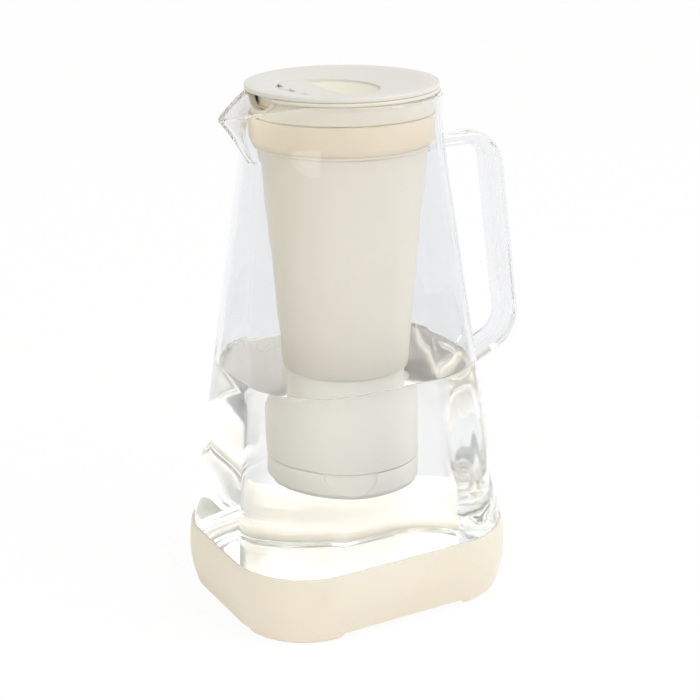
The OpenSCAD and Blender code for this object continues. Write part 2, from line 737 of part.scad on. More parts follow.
module cartridge_shell() {
    color(PALE) difference() {
        union() {
            rotate_extrude() polygon([
                [neck_in, neck_low_z], [neck_out_r, neck_low_z], [neck_out_r, cap_top_z + 0.2],
                [cart_r, cap_top_z + 0.2], [cart_r, cart_top_z - 0.8], [cart_r - 0.8, cart_top_z],
                [cart_in_r, cart_top_z], [cart_in_r, slot_low_z + lug_h + 0.6],
                [slot_r, slot_low_z + lug_h + 0.6], [slot_r, slot_low_z],
                [cart_in_r, slot_low_z], [cart_in_r, plate_z + plate_t + weld_gap],
                [neck_in, plate_z + plate_t + weld_gap]]);
            translate([0, 0, neck_low_z + 0.4]) lugs(neck_out_r, cap_lug_t, cap_lug_h, cap_lug_w);
            stops(cart_in_r, slot_r, slot_low_z - 0.2, lug_h + 1, lug_w);
        }
        ways_in(cart_in_r, slot_r, slot_low_z + 0.2, lug_w, cart_turn);
    }
}
// Plate welded under the shell's step, with the socket that the reservoir's boss plugs into
module cartridge_inlet() {
    color(PALE) difference() {
        rotate_extrude() polygon([
            [0, plate_z], [neck_in - weld_gap, plate_z], [neck_in - weld_gap, plate_z + plate_t],
            [socket_r + 1.8, plate_z + plate_t], [socket_r + 1.8, cart_top_z - 2],
            [socket_r, cart_top_z - 2], [socket_r, plate_z + plate_t], [0, plate_z + plate_t]]);
        // water passes from the socket to the media
        for (a = [0 : 60 : 300]) rotate(a) translate([5.5, 0, plate_z - 1])
            cylinder(h = plate_t + 2, r = 1.8);
    }
}
module cartridge_o_ring() {
    color(CARBON) translate([0, 0, o_ring_z]) o_ring(socket_r - seal_gap, o_ring_t);
}
module upper_felt() {
    color("white") translate([0, 0, plate_z - felt_t]) cylinder(h = felt_t, r = media_r);
}
module carbon_media() {
    color(CARBON) translate([0, 0, neck_low_z + felt_t])
        cylinder(h = plate_z - neck_low_z - 2 * felt_t, r = media_r);
}
module lower_felt() {
    color("white") translate([0, 0, neck_low_z]) cylinder(h = felt_t, r = media_r);
}

// Cup with three thumb recesses, outlet slots and a ring that holds the felt up
module cartridge_cap() {
    inner = neck_out_r + slip;
    floor_t = 2;
    color(PALE) difference() {
        union() {
            rotate_extrude() polygon([
                [0, cart_low_z], [cart_r - 3.4, cart_low_z], [cart_r - 1.2, cart_low_z + 0.9],
                [cart_r - 0.2, cart_low_z + 3], [cart_r, cart_low_z + 5], [cart_r, cap_top_z],
                [inner, cap_top_z], [inner, cap_slot_low_z + cap_lug_h + 0.6],
                [cap_slot_r, cap_slot_low_z + cap_lug_h + 0.6], [cap_slot_r, cap_slot_low_z],
                [inner, cap_slot_low_z], [inner, cart_low_z + floor_t + 1.5],
                [inner - 1.5, cart_low_z + floor_t], [20, cart_low_z + floor_t],
                [20, neck_low_z - 0.3], [18.2, neck_low_z - 0.3],
                [18.2, cart_low_z + floor_t], [0, cart_low_z + floor_t]]);
            stops(inner, cap_slot_r, cap_slot_low_z - 0.2, cap_lug_h + 1, cap_lug_w);
        }
        for (a = [0, 120, 240]) rotate(a) thumb_recess();
        for (a = [0 : 30 : 330]) rotate(a) translate([6, -1, cart_low_z - 1]) cube([9, 2, 6]);
        ways_in(inner, cap_slot_r, cap_slot_low_z + 0.2, cap_lug_w, cap_turn);
    }
}
// A bowl-shaped recess, open at the cap's top edge: the side of a round pad is pressed into the wall
module thumb_recess() {
    pad_h = cap_h - 2.6;
    difference() {
        translate([0, 0, cap_top_z - pad_h + thumb_w / 2]) rotate([0, 90, 0])
            cylinder(h = BIG / 2, r = thumb_w / 2);
        translate([0, 0, cart_low_z - 1]) cylinder(h = cap_h + 40, r = cart_r - thumb_t);
    }
}

glass_body();
glass_handle();
base_boot();
reservoir();
reservoir_seal();
lid();
lid_seal();
flip_cover();
hinge_pin();
microfilter_housing();
microfilter_cap();
potting_disc();
fibre_bundle();
microfilter_o_ring();
cartridge_shell();
cartridge_inlet();
cartridge_o_ring();
upper_felt();
carbon_media();
lower_felt();
cartridge_cap();
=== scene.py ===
"""Water filter pitcher with a flip lid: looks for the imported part.

Every piece is made in the part's own frame, in metres: +Z up, the spout along -X, the handle along +X.
"""

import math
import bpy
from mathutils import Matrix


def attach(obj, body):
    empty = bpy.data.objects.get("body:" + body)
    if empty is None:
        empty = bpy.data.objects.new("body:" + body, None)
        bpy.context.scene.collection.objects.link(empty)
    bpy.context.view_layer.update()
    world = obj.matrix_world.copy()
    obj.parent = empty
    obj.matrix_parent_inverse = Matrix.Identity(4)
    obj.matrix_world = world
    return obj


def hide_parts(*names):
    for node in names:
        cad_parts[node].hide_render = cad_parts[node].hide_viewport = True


bl_info = {
    "name": "Water filter pitcher",
    "version": (1, 0, 0),
    "blender": (4, 5, 0),
    "location": "View3D > Sidebar > Pitcher",
    "description": "Glass pitcher with a hanging filter, a silicone boot and a flip lid",
    "category": "Add Mesh",
}

import bpy
from bpy.props import FloatProperty, FloatVectorProperty, PointerProperty
from mathutils import Matrix, Vector, noise

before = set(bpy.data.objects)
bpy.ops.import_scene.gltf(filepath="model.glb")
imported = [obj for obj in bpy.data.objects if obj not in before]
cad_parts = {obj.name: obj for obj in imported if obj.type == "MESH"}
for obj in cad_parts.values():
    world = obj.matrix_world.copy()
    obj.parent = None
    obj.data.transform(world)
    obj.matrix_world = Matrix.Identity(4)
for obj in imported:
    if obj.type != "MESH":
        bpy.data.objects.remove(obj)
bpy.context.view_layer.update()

MM = 0.001
GLASS_SIDES = 288  # sides of a turned piece of the vessel
SIDES = 192  # of any other turned piece
TOOL_SIDES = 160  # of a round tool
DOUBLE = 1e-6  # points nearer to each other than this are one


# ---- Sizes and colours ----------------------------------------------------------------------


def length(name, about, mm):
    """A size in millimetres, kept in metres."""
    return FloatProperty(
        name=name, description=about, default=mm * MM, min=0.0, precision=4, unit="LENGTH"
    )


def colour_of(name, about, colour):
    return FloatVectorProperty(
        name=name, description=about, default=colour, min=0.0, max=1.0, size=3, subtype="COLOR"
    )


def tint(name, about, red, green, blue):
    return colour_of(name, about, as_seen(red, green, blue))


def as_seen(*colour):
    """The light of a colour that is written as it looks on screen, from 0 to 255."""
    shares = [c / 255 for c in colour]
    return [c / 12.92 if c <= 0.04045 else ((c + 0.055) / 1.055) ** 2.4 for c in shares]


class VesselSizes(bpy.types.PropertyGroup):
    """Sizes of the glass, the water and the boot."""

    rim_z: length("Rim height", "Height of the glass rim above the counter", 265.5)
    neck_r: length("Neck radius", "Outer radius of the round neck", 49.2)
    neck_h: length("Neck height", "From the rim down to the taper", 15.5)
    wide_z: length("Full width height", "Height where the body is widest", 36)
    foot_x: length("Foot length", "Length of the body at its foot", 151.2)
    foot_y: length("Foot width", "Width of the body at its foot", 122.2)
    foot_corner: length("Foot corner", "Corner radius of the body at its foot", 38.8)
    glass_t: length("Glass wall", "Thickness of the glass wall", 3)
    glass_floor: length("Glass bottom", "Thickness of the glass bottom", 6)
    glass_low: length("Glass underside", "Height of the glass over the counter", 6)
    foot_round: length("Foot round", "Radius between wall and bottom", 10)
    spout_out: length("Spout reach", "Reach of the spout beyond the neck", 17.6)
    spout_drop: length("Spout drop", "Drop of the spout's tip below the rim", 7.4)
    spout_h: length("Spout height", "Height of the spout below the rim", 30.5)
    ripple: length("Ripple", "Unevenness of the inside of the glass", 0.12)
    water_z: length("Water level", "Height of the water above the counter", 126)
    boot_top: length("Boot height", "Height of the boot's top edge", 37.5)
    boot_t: length("Boot thickness", "Thickness where the boot is fullest", 2.36)
    boot_full: length("Boot full height", "Height of the fullest line", 22)


class HandleSizes(bpy.types.PropertyGroup):
    """Sizes of the glass handle."""

    drop: length("Upper run drop", "Upper run's centre line below the rim", 31)
    height: length("Corner distance", "Height between the two corners", 108)
    top_out: length("Upper reach", "Upper corner from the glass beside it", 35.14)
    low_out: length("Lower reach", "Lower corner from the glass beside it", 36.52)
    bend: length("Corner radius", "Radius of the centre line at both corners", 16.5)
    grip_t: length("Grip thickness", "From palm to fingers", 10)
    grip_w: length("Grip width", "Width of the grip", 15)
    arm_t: length("Upper run thickness", "Thickness of the upper run", 6.6)
    arm_w: length("Upper run width", "Width of the upper run", 12)


class FilterSizes(bpy.types.PropertyGroup):
    """Sizes of the reservoir, its seal and the cartridge."""

    flange_r: length("Flange radius", "Radius of the rim flange", 48)
    flange_t: length("Flange thickness", "Thickness of the rim flange", 2.1)
    wall: length("Reservoir wall", "Thickness of the reservoir's wall", 2)
    collar_r: length("Collar radius", "Radius of the collar above the seal", 45.2)
    collar_h: length("Collar height", "Height of the collar above the seal", 9.5)
    band_h: length("Seal height", "Height of the seal band", 15)
    band_r: length("Seal radius", "Outer radius of the seal band", 46.12)
    band_t: length("Seal thickness", "Thickness of the seal band", 3)
    low_z: length("Reservoir underside", "Its height above the counter", 121)
    low_r: length("Reservoir foot radius", "Outer radius at its lower end", 31.9)
    notch_w: length("Notch width", "Width of the pouring notch", 30)
    notch_h: length("Notch depth", "Depth of the pouring notch", 7.5)
    cart_r: length("Cartridge radius", "Outer radius of the cartridge", 30.2)
    cart_len: length("Cartridge length", "Length of the cartridge", 59)
    cap_h: length("Cap height", "Height of the twist-off cap", 14)
    thumb_w: length("Thumb recess width", "Width of a recess in the cap", 25)
    thumb_t: length("Thumb recess depth", "Depth of a recess in the cap", 1.1)


class LidSizes(bpy.types.PropertyGroup):
    """Sizes of the lid and its flip cover."""

    lid_t: length("Lid thickness", "Thickness of the lid at its rim", 2.4)
    dish_h: length("Dish depth", "Depth of the lid's dished middle", 4)
    ring: length("Lid ring", "Width of the flat ring round the dish", 6)
    field_r: length("Field radius", "Round field of the cover and scoop", 25.5)
    chord_x: length("Cover edge", "From the axis to the cover's straight edge", 7.4)
    scoop_h: length("Scoop depth", "Depth of the finger scoop", 6)
    cover_gap: length("Cover gap", "Gap around the flip cover", 0.4)
    cover_t: length("Cover thickness", "Thickness of the cover's edge", 1.3)
    knuckle_r: length("Knuckle radius", "Radius of the hinge knuckles", 1.9)


class Finish(bpy.types.PropertyGroup):
    """Colours, as they look in soft white light."""

    boot: tint("Boot", "Silicone boot", 239, 229, 213)
    # painted light: the inside of the boot gets a lighter copy of the boot's colour
    boot_inside: tint("Boot inside", "Inside of the boot", 246, 237, 215)
    lid: tint("Lid", "Lid and flip cover", 239, 236, 222)
    # painted shade: this dark colour on the sides of the gap round the cover stands in for the shade
    # in the gap
    seam: tint("Seam", "Sides of the gap round the cover", 150, 138, 112)
    reservoir: tint("Reservoir", "Filling reservoir", 230, 225, 212)
    seal: tint("Seal", "Silicone seal band", 237, 223, 201)
    cartridge: tint("Cartridge", "Carbon cartridge and cap", 243, 241, 231)
    glass: tint("Glass", "Glass body and handle", 239, 240, 242)
    water: tint("Water", "Water in the glass", 255, 255, 255)


# ---- Modelling by hand ----------------------------------------------------------------------


def put_down():
    """Leaves edit mode and selects nothing."""
    if bpy.context.object and bpy.context.object.mode != "OBJECT":
        bpy.ops.object.mode_set(mode="OBJECT")
    bpy.ops.object.select_all(action="DESELECT")


def pick_up(piece):
    """Makes the piece the only selected and active object."""
    put_down()
    piece.select_set(True)
    bpy.context.view_layer.objects.active = piece


def settle(name):
    """Names the new primitive and puts its place into its mesh."""
    piece = bpy.context.object
    piece.name = piece.data.name = name
    bpy.ops.object.transform_apply(location=True, rotation=True, scale=True)
    return piece


def edit(piece, select="SELECT"):
    pick_up(piece)
    bpy.ops.object.mode_set(mode="EDIT")
    bpy.ops.mesh.select_all(action=select)


def done(piece):
    """Leaves edit mode."""
    bpy.ops.object.mode_set(mode="OBJECT")
    return piece


def turned(name, line, sides=SIDES, loop=False):
    """Extrudes and resizes a circle along a line of (radius, height) points.

    Open ends are filled flat. A looped line joins its last point to its first.
    """
    put_down()
    radius, height = line[0]
    bpy.ops.mesh.primitive_circle_add(vertices=sides, radius=radius, location=(0, 0, height))
    piece = settle(name)
    edit(piece)
    for new_radius, new_height in list(line[1:]) + ([line[0]] if loop else []):
        rise = {"value": (0, 0, new_height - height)}
        bpy.ops.mesh.extrude_edges_move(TRANSFORM_OT_translate=rise)
        if abs(new_radius - radius) > 1e-9:
            k = new_radius / radius
            bpy.ops.transform.resize(value=(k, k, 1), center_override=(0, 0, new_height))
        radius, height = new_radius, new_height
    if loop:
        bpy.ops.mesh.select_all(action="SELECT")
        bpy.ops.mesh.remove_doubles(threshold=DOUBLE)
    else:
        bpy.ops.mesh.select_all(action="DESELECT")
        bpy.ops.mesh.select_non_manifold()
        bpy.ops.mesh.edge_face_add()
    return face_out(piece)


def ring(name, line, soft, steps=4):
    """A turned piece with a closed section, its corners softened."""
    return turned(name, softened(line, soft, steps, True), SIDES, True)


def face_out(piece):
    edit(piece)
    bpy.ops.mesh.normals_make_consistent(inside=False)
    return done(piece)


def softened(line, radius, steps=4, loop=False):
    """Rounds the corners of a line of points. Near corners take a smaller radius."""
    slight = math.radians(12)  # a turn that stays as it is
    most = 0.45  # share of a side that one corner may take
    points = [Vector(p) for p in line]
    made = []
    for i, p in enumerate(points):
        if not loop and i in (0, len(points) - 1):
            made.append(p)
            continue
        a, b = points[i - 1] - p, points[(i + 1) % len(points)] - p
        turn = math.pi - a.angle(b)
        if turn < slight:
            made.append(p)
            continue
        cut = min(radius * math.tan(turn / 2), most * a.length, most * b.length)
        start, end = p + a.normalized() * cut, p + b.normalized() * cut
        for k in range(steps + 1):
            t = k / steps
            made.append(start * (1 - t) ** 2 + p * 2 * t * (1 - t) + end * t**2)
    return [tuple(p) for p in made]


def block(name, low, high):
    """A box between two corners, as a tool for cutting or joining."""
    put_down()
    size = [h - l for l, h in zip(low, high)]
    middle = [(h + l) / 2 for l, h in zip(low, high)]
    bpy.ops.mesh.primitive_cube_add(size=1, location=middle, scale=size)
    return settle(name)


def rod(name, radius, start, end, sides=TOOL_SIDES):
    """A round bar from one point to another."""
    put_down()
    start, end = Vector(start), Vector(end)
    bpy.ops.mesh.primitive_cylinder_add(
        vertices=sides,
        radius=radius,
        depth=(end - start).length,
        location=(start + end) / 2,
        rotation=(end - start).to_track_quat("Z", "Y").to_euler(),
    )
    return settle(name)


def combine(piece, tool, how):
    """Cuts the tool from the piece, joins it or keeps what both hold. The tool is used up."""
    pick_up(piece)
    work = piece.modifiers.new(how.lower(), "BOOLEAN")
    work.operation, work.solver, work.object = how, "EXACT", tool
    bpy.ops.object.modifier_apply(modifier=work.name)
    bpy.data.objects.remove(tool)
    # merge doubled points and close the pinholes that a cut can leave
    edit(piece)
    bpy.ops.mesh.remove_doubles(threshold=DOUBLE)
    bpy.ops.mesh.dissolve_degenerate(threshold=DOUBLE)
    bpy.ops.mesh.select_all(action="DESELECT")
    bpy.ops.mesh.select_non_manifold()
    bpy.ops.mesh.fill_holes(sides=6)
    return done(piece)


def cut_off(piece, point, normal):
    """Cuts away what lies on the normal's side of a plane, and closes the cut."""
    edit(piece)
    bpy.ops.mesh.bisect(plane_co=point, plane_no=normal, use_fill=True, clear_outer=True)
    return done(piece)


def move(piece, offset):
    edit(piece)
    bpy.ops.transform.translate(value=offset)
    return done(piece)


def swing(piece, angle):
    """Turns a piece about the vessel's axis."""
    edit(piece)
    bpy.ops.transform.rotate(value=angle, orient_axis="Z", center_override=(0, 0, 0))
    return done(piece)


def rounded_edges(piece, width, angle):
    """Rounds the edges that turn by more than the angle, in degrees."""
    pick_up(piece)
    work = piece.modifiers.new("edges", "BEVEL")
    work.width, work.segments = width, 3
    work.limit_method, work.angle_limit = "ANGLE", math.radians(angle)
    work.use_clamp_overlap = True
    work.harden_normals = False
    bpy.ops.object.modifier_apply(modifier=work.name)


def smooth(piece, angle):
    pick_up(piece)
    bpy.ops.object.shade_smooth_by_angle(angle=math.radians(angle))


def reshape(piece, place):
    """Moves each vertex to where place puts it."""
    put_down()
    for v in piece.data.vertices:
        v.co = place(v.co)
    piece.data.update()
    return face_out(piece)


def seated(piece, material, body, slot, *nodes):
    """Gives a finished piece its material and its place on the part."""
    put_down()
    piece.data.materials.clear()
    piece.data.materials.append(material)
    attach(piece, body)
    if nodes:
        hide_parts(*nodes)


# ---- Materials ------------------------------------------------------------------------------


def wire(tree, made, **sockets):
    """Sets a node's sockets by name, or joins them to other nodes' outputs."""
    for name, value in sockets.items():
        socket = made.inputs[name.replace("_", " ")]
        if isinstance(value, bpy.types.NodeSocket):
            tree.links.new(value, socket)
        else:
            socket.default_value = value
    return made


def node(tree, kind, **sockets):
    return wire(tree, tree.nodes.new("ShaderNode" + kind), **sockets)


def surface(name, colour, roughness, **sockets):
    """A material of one Principled shader, with its other sockets set by name.

    Gives back the material, its tree, its shader and the place on the piece.
    """
    made = bpy.data.materials.get(name) or bpy.data.materials.new(name)
    made.use_nodes = True
    tree = made.node_tree
    shader = tree.nodes["Principled BSDF"]
    wire(tree, shader, Base_Color=(*colour, 1), Roughness=roughness, **sockets)
    return made, tree, shader, node(tree, "TexCoord").outputs["Object"]


def grain(tree, where, scale, detail, stretch=(1, 1, 1)):
    """Noise over the piece, in bumps per metre."""
    place = node(tree, "Mapping", Vector=where, Scale=stretch).outputs["Vector"]
    return node(tree, "TexNoise", Vector=place, Scale=scale, Detail=detail).outputs["Fac"]


def spread(tree, value, low, high, from_low=0.3, from_high=0.7):
    """Maps a value to a range, by default the middle of a noise."""
    ramp = node(tree, "MapRange", From_Min=from_low, From_Max=from_high, To_Min=low, To_Max=high)
    return wire(tree, ramp, Value=value).outputs["Result"]


def varied(tree, shader, value, colour, shade):
    """Drifts the shader's colour towards a shade of it."""
    mix = node(tree, "Mix")
    mix.data_type = "RGBA"
    shaded = [c * s for c, s in zip(colour, shade)]
    wire(tree, mix, A=(*colour, 1), B=(*shaded, 1), Factor=value)
    wire(tree, shader, Base_Color=mix.outputs["Result"])


def bumped(tree, shader, height, depth):
    bump = node(tree, "Bump", Strength=0.6, Distance=depth, Height=height)
    wire(tree, shader, Normal=bump.outputs["Normal"])


def stops(tree, value, colours, source=None):
    """A run of colours along a value, multiplied with another colour if there is one."""
    ramp = node(tree, "ValToRGB", Fac=value)
    run = ramp.color_ramp.elements
    for at, colour in colours:
        run.new(at).color = (*colour, 1)
    run.remove(run[0])  # the two stops that a new ramp has, at 0 and 1
    run.remove(run[-1])
    if source is None:
        return ramp.outputs["Color"]
    both = node(tree, "VectorMath")
    both.operation = "MULTIPLY"
    tree.links.new(source, both.inputs[0])
    tree.links.new(ramp.outputs["Color"], both.inputs[1])
    return both.outputs["Vector"]


def painted_tone_by_height(made, low, high, above):
    """Multiplies a material's colour by another above a height, fading in from low to high: painted
    shading by height.
    """
    tree = made.node_tree
    shader = tree.nodes["Principled BSDF"]
    base = shader.inputs["Base Color"].links[0].from_socket
    place = next(each for each in tree.nodes if each.type == "TEX_COORD").outputs["Object"]
    height = node(tree, "SeparateXYZ", Vector=place).outputs["Z"]
    run = ((0.01, (1, 1, 1)), (0.99, above))
    wire(tree, shader, Base_Color=stops(tree, spread(tree, height, 0, 1, low, high), run, base))
    return made


def sinking(weight, reach, scale=0.003):
    """Sockets for light that sinks in, with its reach in red, green and blue."""
    return {"Subsurface_Weight": weight, "Subsurface_Radius": reach, "Subsurface_Scale": scale}


def moulded(name, colour, roughness, drift=(0.97, 0.96, 0.94), **sockets):
    """Moulded plastic or silicone: slow drifts of tone, and a fine grain in its gloss and surface."""
    clouds, grit_size = 14, 2200  # per metre
    made, tree, shader, where = surface(name, colour, roughness, **sockets)
    slow = spread(tree, grain(tree, where, clouds, 2), 0, 1)
    varied(tree, shader, slow, colour, drift)
    grit = grain(tree, where, grit_size, 4)
    worn = spread(tree, grit, roughness - 0.05, roughness + 0.06)
    wire(tree, shader, Roughness=worn)
    bumped(tree, shader, grit, 0.02 * MM)
    return made


def boot_silicone(finish):
    """Matt silicone with a soft bloom."""
    soft = sinking(0.6, (1.0, 0.85, 0.65), 0.004)
    return moulded("boot_silicone", finish.boot, 0.5, (0.985, 0.975, 0.96), Sheen_Weight=0.15, **soft)


def boot_inside(finish):
    """The boot's inside, seen through the glass: smooth, painted lighter than the outside as painted
    light, and daylight comes through it.
    """
    return moulded("boot_inside", finish.boot_inside, 0.3, **sinking(1.0, (1.0, 0.95, 0.9), 0.02))


def reservoir_plastic(finish):
    soft = sinking(0.12, (0.8, 0.7, 0.5))
    return moulded("reservoir_plastic", finish.reservoir, 0.32, (0.985, 0.98, 0.965), **soft)


def seal_silicone(finish):
    soft = sinking(0.1, (0.8, 0.6, 0.4))
    return moulded("seal_silicone", finish.seal, 0.46, (0.98, 0.97, 0.95), **soft)


def lid_plastic(finish, dish_low):
    """Lid plastic with painted shading by height: the dish and the rim are painted darker and cooler
    than the scoop, which lies lower.
    """
    soft = sinking(0.08, (0.8, 0.7, 0.6))
    made = moulded("lid_plastic", finish.lid, 0.34, (0.985, 0.985, 0.975), **soft)
    return painted_tone_by_height(made, dish_low - 0.6 * MM, dish_low, (0.86, 0.87, 0.955))


# painted shade in the gap round the cover
def lid_seam(finish):
    return moulded("lid_seam", finish.seam, 0.6)


def cartridge_plastic(finish):
    soft = sinking(0.1, (0.8, 0.7, 0.6))
    return moulded("cartridge_plastic", finish.cartridge, 0.42, (0.985, 0.985, 0.975), **soft)


def clear(name, colour, ior):
    """Clear glass or water."""
    return surface(name, colour, 0.0, Transmission_Weight=1.0, IOR=ior, Specular_IOR_Level=0.5)[0]


# ---- The vessel's outline -------------------------------------------------------------------


class Outline:
    """The vessel's outside: a rounded rectangle at the foot that becomes a round neck with a spout.

    A point of the straight tube, at radius neck_r - inset, goes to the same inset on the vessel.
    """

    CROWD = math.radians(25)  # the points crowd towards the spout
    NECK_SOFT = 6 * MM
    FOOT_SOFT = 5 * MM
    SPOUT_SOFT = math.radians(3)
    WAVES = (70, 70, 22)  # of the unevenness, per metre: longer up the wall than round it
    DIP_CURVE = 0.7  # below 1, the lip drops early beside the spout

    def __init__(self, sizes):
        for name in VesselSizes.__annotations__:
            setattr(self, name, getattr(sizes, name))
        self.neck_z = self.rim_z - self.neck_h
        self.spout_z = self.rim_z - self.spout_h
        self.lip_z = self.rim_z - self.glass_t / 2
        self.spout_reach = self.neck_r + self.spout_out

    def share(self, z):
        soft = self.NECK_SOFT
        d = self.neck_z - z
        run = 0 if d < -soft else (d + soft) ** 2 / (4 * soft) if d < soft else d
        full = self.neck_z - self.wide_z
        over = run - full + self.FOOT_SOFT  # a soft bend where the taper ends
        if over > 0:
            run -= min(over, 2 * self.FOOT_SOFT) ** 2 / (4 * self.FOOT_SOFT)
            run = min(run, full)
        return min(1, run / full)

    def half_x(self, z):
        return self.neck_r + (self.foot_x / 2 - self.neck_r) * self.share(z)

    def half_y(self, z):
        return self.neck_r + (self.foot_y / 2 - self.neck_r) * self.share(z)

    def corner(self, z):
        return self.neck_r + (self.foot_corner - self.neck_r) * self.share(z)

    def pull(self, s, inset, angle):
        """How far the spout pulls the neck outwards at this angle, at share s of its height."""
        if s <= 0:
            return 1.0
        tip = (self.neck_r + self.spout_out * s) * (1 - inset / self.neck_r)
        spread_angle = math.acos((self.neck_r - inset) / tip) + self.SPOUT_SOFT
        off = abs(angle - math.pi)
        u = spread_angle - math.hypot(off, self.SPOUT_SOFT)
        return 1 / math.cos(u) if u > 0 else 1.0

    def dip(self, angle):
        full = self.spout_reach / self.neck_r - 1
        return self.spout_drop * max(0, (self.pull(1, 0, angle) - 1) / full) ** self.DIP_CURVE

    def place(self, point):
        even = math.atan2(point.y, point.x) % (2 * math.pi)
        angle = even + self.CROWD * math.sin(even)
        inset = self.neck_r - math.hypot(point.x, point.y)
        s = min(1, max(0, (point.z - self.spout_z) / (self.lip_z - self.spout_z)))
        z = point.z - self.dip(angle) * s if s > 0 else point.z
        r = self.corner(z) - inset
        c, d = math.cos(angle), math.sin(angle)
        k = self.pull(s, inset, angle)
        return Vector(
            (
                (math.copysign(self.half_x(z) - inset - r, c) + r * c) * k,
                (math.copysign(self.half_y(z) - inset - r, d) + r * d) * k,
                z,
            )
        )

    def wave(self, co):
        """Slow unevenness of drawn glass."""
        p = Vector([c * w for c, w in zip(co, self.WAVES)])
        return noise.noise(p) + 0.5 * noise.noise(p * 2.3 + Vector((5, 3, 1)))


def fillet(o, z, radius, inset, up, steps=10):
    """Quarter round between the flat bottom and the wall, as radius and height."""
    line = []
    for k in range(steps + 1):
        a = (k if up else steps - k) * math.pi / 2 / steps
        line.append(
            (o.neck_r - inset - radius * (1 - math.sin(a)), z + radius * (1 - math.cos(a)))
        )
    return line


def levels(low, high, step):
    count = max(1, round((high - low) / step))
    return [low + (high - low) * k / count for k in range(count + 1)]


def glass_line(o):
    """The wall's section: up the outside, over the lip and down the inside."""
    inner = o.neck_r - o.glass_t
    rise = levels(o.glass_low + o.foot_round + 3 * MM, o.spout_z - 2 * MM, 4 * MM)
    spout = levels(o.spout_z, o.lip_z, 1.3 * MM)
    lip = [
        (
            o.neck_r - o.glass_t / 2 * (1 - math.cos(math.radians(a))),
            o.lip_z + o.glass_t / 2 * math.sin(math.radians(a)),
        )
        for a in range(6, 180, 6)
    ]
    return (
        fillet(o, o.glass_low, o.foot_round, 0, True)
        + [(o.neck_r, z) for z in rise + spout]
        + lip
        + [(inner, z) for z in reversed(rise + spout)]
        + fillet(o, o.glass_low + o.glass_floor, o.foot_round - o.glass_t, o.glass_t, False)
    )


class PITCHER_OT_glass(bpy.types.Operator):
    """Glass body with its spout, and the handle fused to it"""

    bl_idname = "pitcher.glass"
    bl_label = "Glass body and handle"

    def execute(self, context):
        scene = context.scene
        o = Outline(scene.pitcher_vessel)
        body = turned("glass_vessel", glass_line(o), GLASS_SIDES)

        def place(point):
            inset = o.neck_r - math.hypot(point.x, point.y)
            co = o.place(point)
            if inset > 0.9 * o.glass_t:  # the inside is less even than the outside
                push = 1 + o.ripple * o.wave(co) / Vector((co.x, co.y)).length
                co.x, co.y = co.x * push, co.y * push
            return co

        reshape(body, place)
        combine(body, loop_handle(o, scene.pitcher_handle), "UNION")
        smooth(body, 40)
        glass = clear("clear_glass", scene.pitcher_finish.glass, 1.5)
        seated(body, glass, "vessel", "glass", "glass_body", "glass_handle")
        return {"FINISHED"}


def bend(corner, before, turn, radius, steps):
    """Round part of the handle's line at a corner: points, each with the direction there."""
    side = Vector((before.y, -before.x))
    middle = corner - before * radius * math.tan(turn / 2) + side * radius
    made = []
    for k in range(steps + 1):
        c, s = math.cos(turn * k / steps), math.sin(turn * k / steps)
        made.append((middle - side * radius * c + before * radius * s, before * c + side * s))
    return made


def swelling(most, off):
    """How much the handle thickens at a distance from the glass."""
    reach = 7 * MM
    return 1 + most * max(0, 1 - max(0, off) / reach) ** 2


def handle_stations(o, sizes):
    """The handle's line: centre, direction, share of the grip's section and swelling."""
    root = 1.6 * MM  # the ends reach into the wall by this much, or more where they slope
    arm_steps, bend_steps, grip_steps = 14, 20, 12
    tilt = math.radians(25)
    out = Vector((math.cos(tilt), math.sin(tilt)))  # along the lower run
    level = Vector((1, 0))
    top_z = o.rim_z - sizes.drop
    low_z = top_z - sizes.height
    top = Vector((o.half_x(top_z) + sizes.top_out, top_z))
    low = Vector((o.half_x(low_z) + sizes.low_out, low_z))
    grip = (low - top).normalized()
    upper = bend(top, level, math.acos(grip.x), sizes.bend, bend_steps)
    lower = bend(low, grip, math.acos(-grip.dot(out)), sizes.bend, bend_steps)
    stations = []
    start_x = o.half_x(top_z) - root
    for k in range(arm_steps):
        x = start_x + (upper[0][0].x - start_x) * (k / arm_steps)
        stations.append((Vector((x, top_z)), level, 0, swelling(0.35, x - start_x - root)))
    stations += [(p, way, k / bend_steps, 1) for k, (p, way) in enumerate(upper)]
    far, near = upper[-1][0], lower[0][0]
    stations += [(far.lerp(near, k / grip_steps), grip, 1, 1) for k in range(1, grip_steps)]
    stations += [(p, way, 1, 1) for p, way in lower]
    leave = lower[-1][0]
    taper = (o.half_x(o.wide_z) - o.neck_r) / (o.neck_z - o.wide_z)
    end_z = leave.y - (leave.x - o.half_x(leave.y)) / (1 / math.tan(tilt) + taper)
    root *= 1.6
    end = Vector((o.half_x(end_z), end_z)) - out * root
    run = (leave - end).length
    for k in range(1, arm_steps + 1):
        t = k / arm_steps
        stations.append((leave.lerp(end, t), -out, 1, swelling(0.25, run * (1 - t) - root)))
    return stations


def loop_handle(o, sizes):
    """Sweeps a rounded rectangle along the handle's line."""
    stations = handle_stations(o, sizes)
    pitch, corner = 1 * MM, 0.36  # of the straight tube, and of the section to its thickness
    line = [(5 * MM, k * pitch) for k in range(len(stations))]
    tube = turned("handle", line, 48)

    def place(point):
        centre, way, share, swell = stations[round(point.z / pitch)]
        t = (sizes.arm_t + (sizes.grip_t - sizes.arm_t) * share) * swell
        w = (sizes.arm_w + (sizes.grip_w - sizes.arm_w) * share) * swell
        r = corner * t
        a = math.atan2(point.y, point.x)
        c, d = math.cos(a), math.sin(a)
        off = math.copysign(t / 2 - r, c) + r * c
        y = math.copysign(w / 2 - r, d) + r * d
        return Vector((centre.x - way.y * off, -y, centre.y + way.x * off))

    return reshape(tube, place)


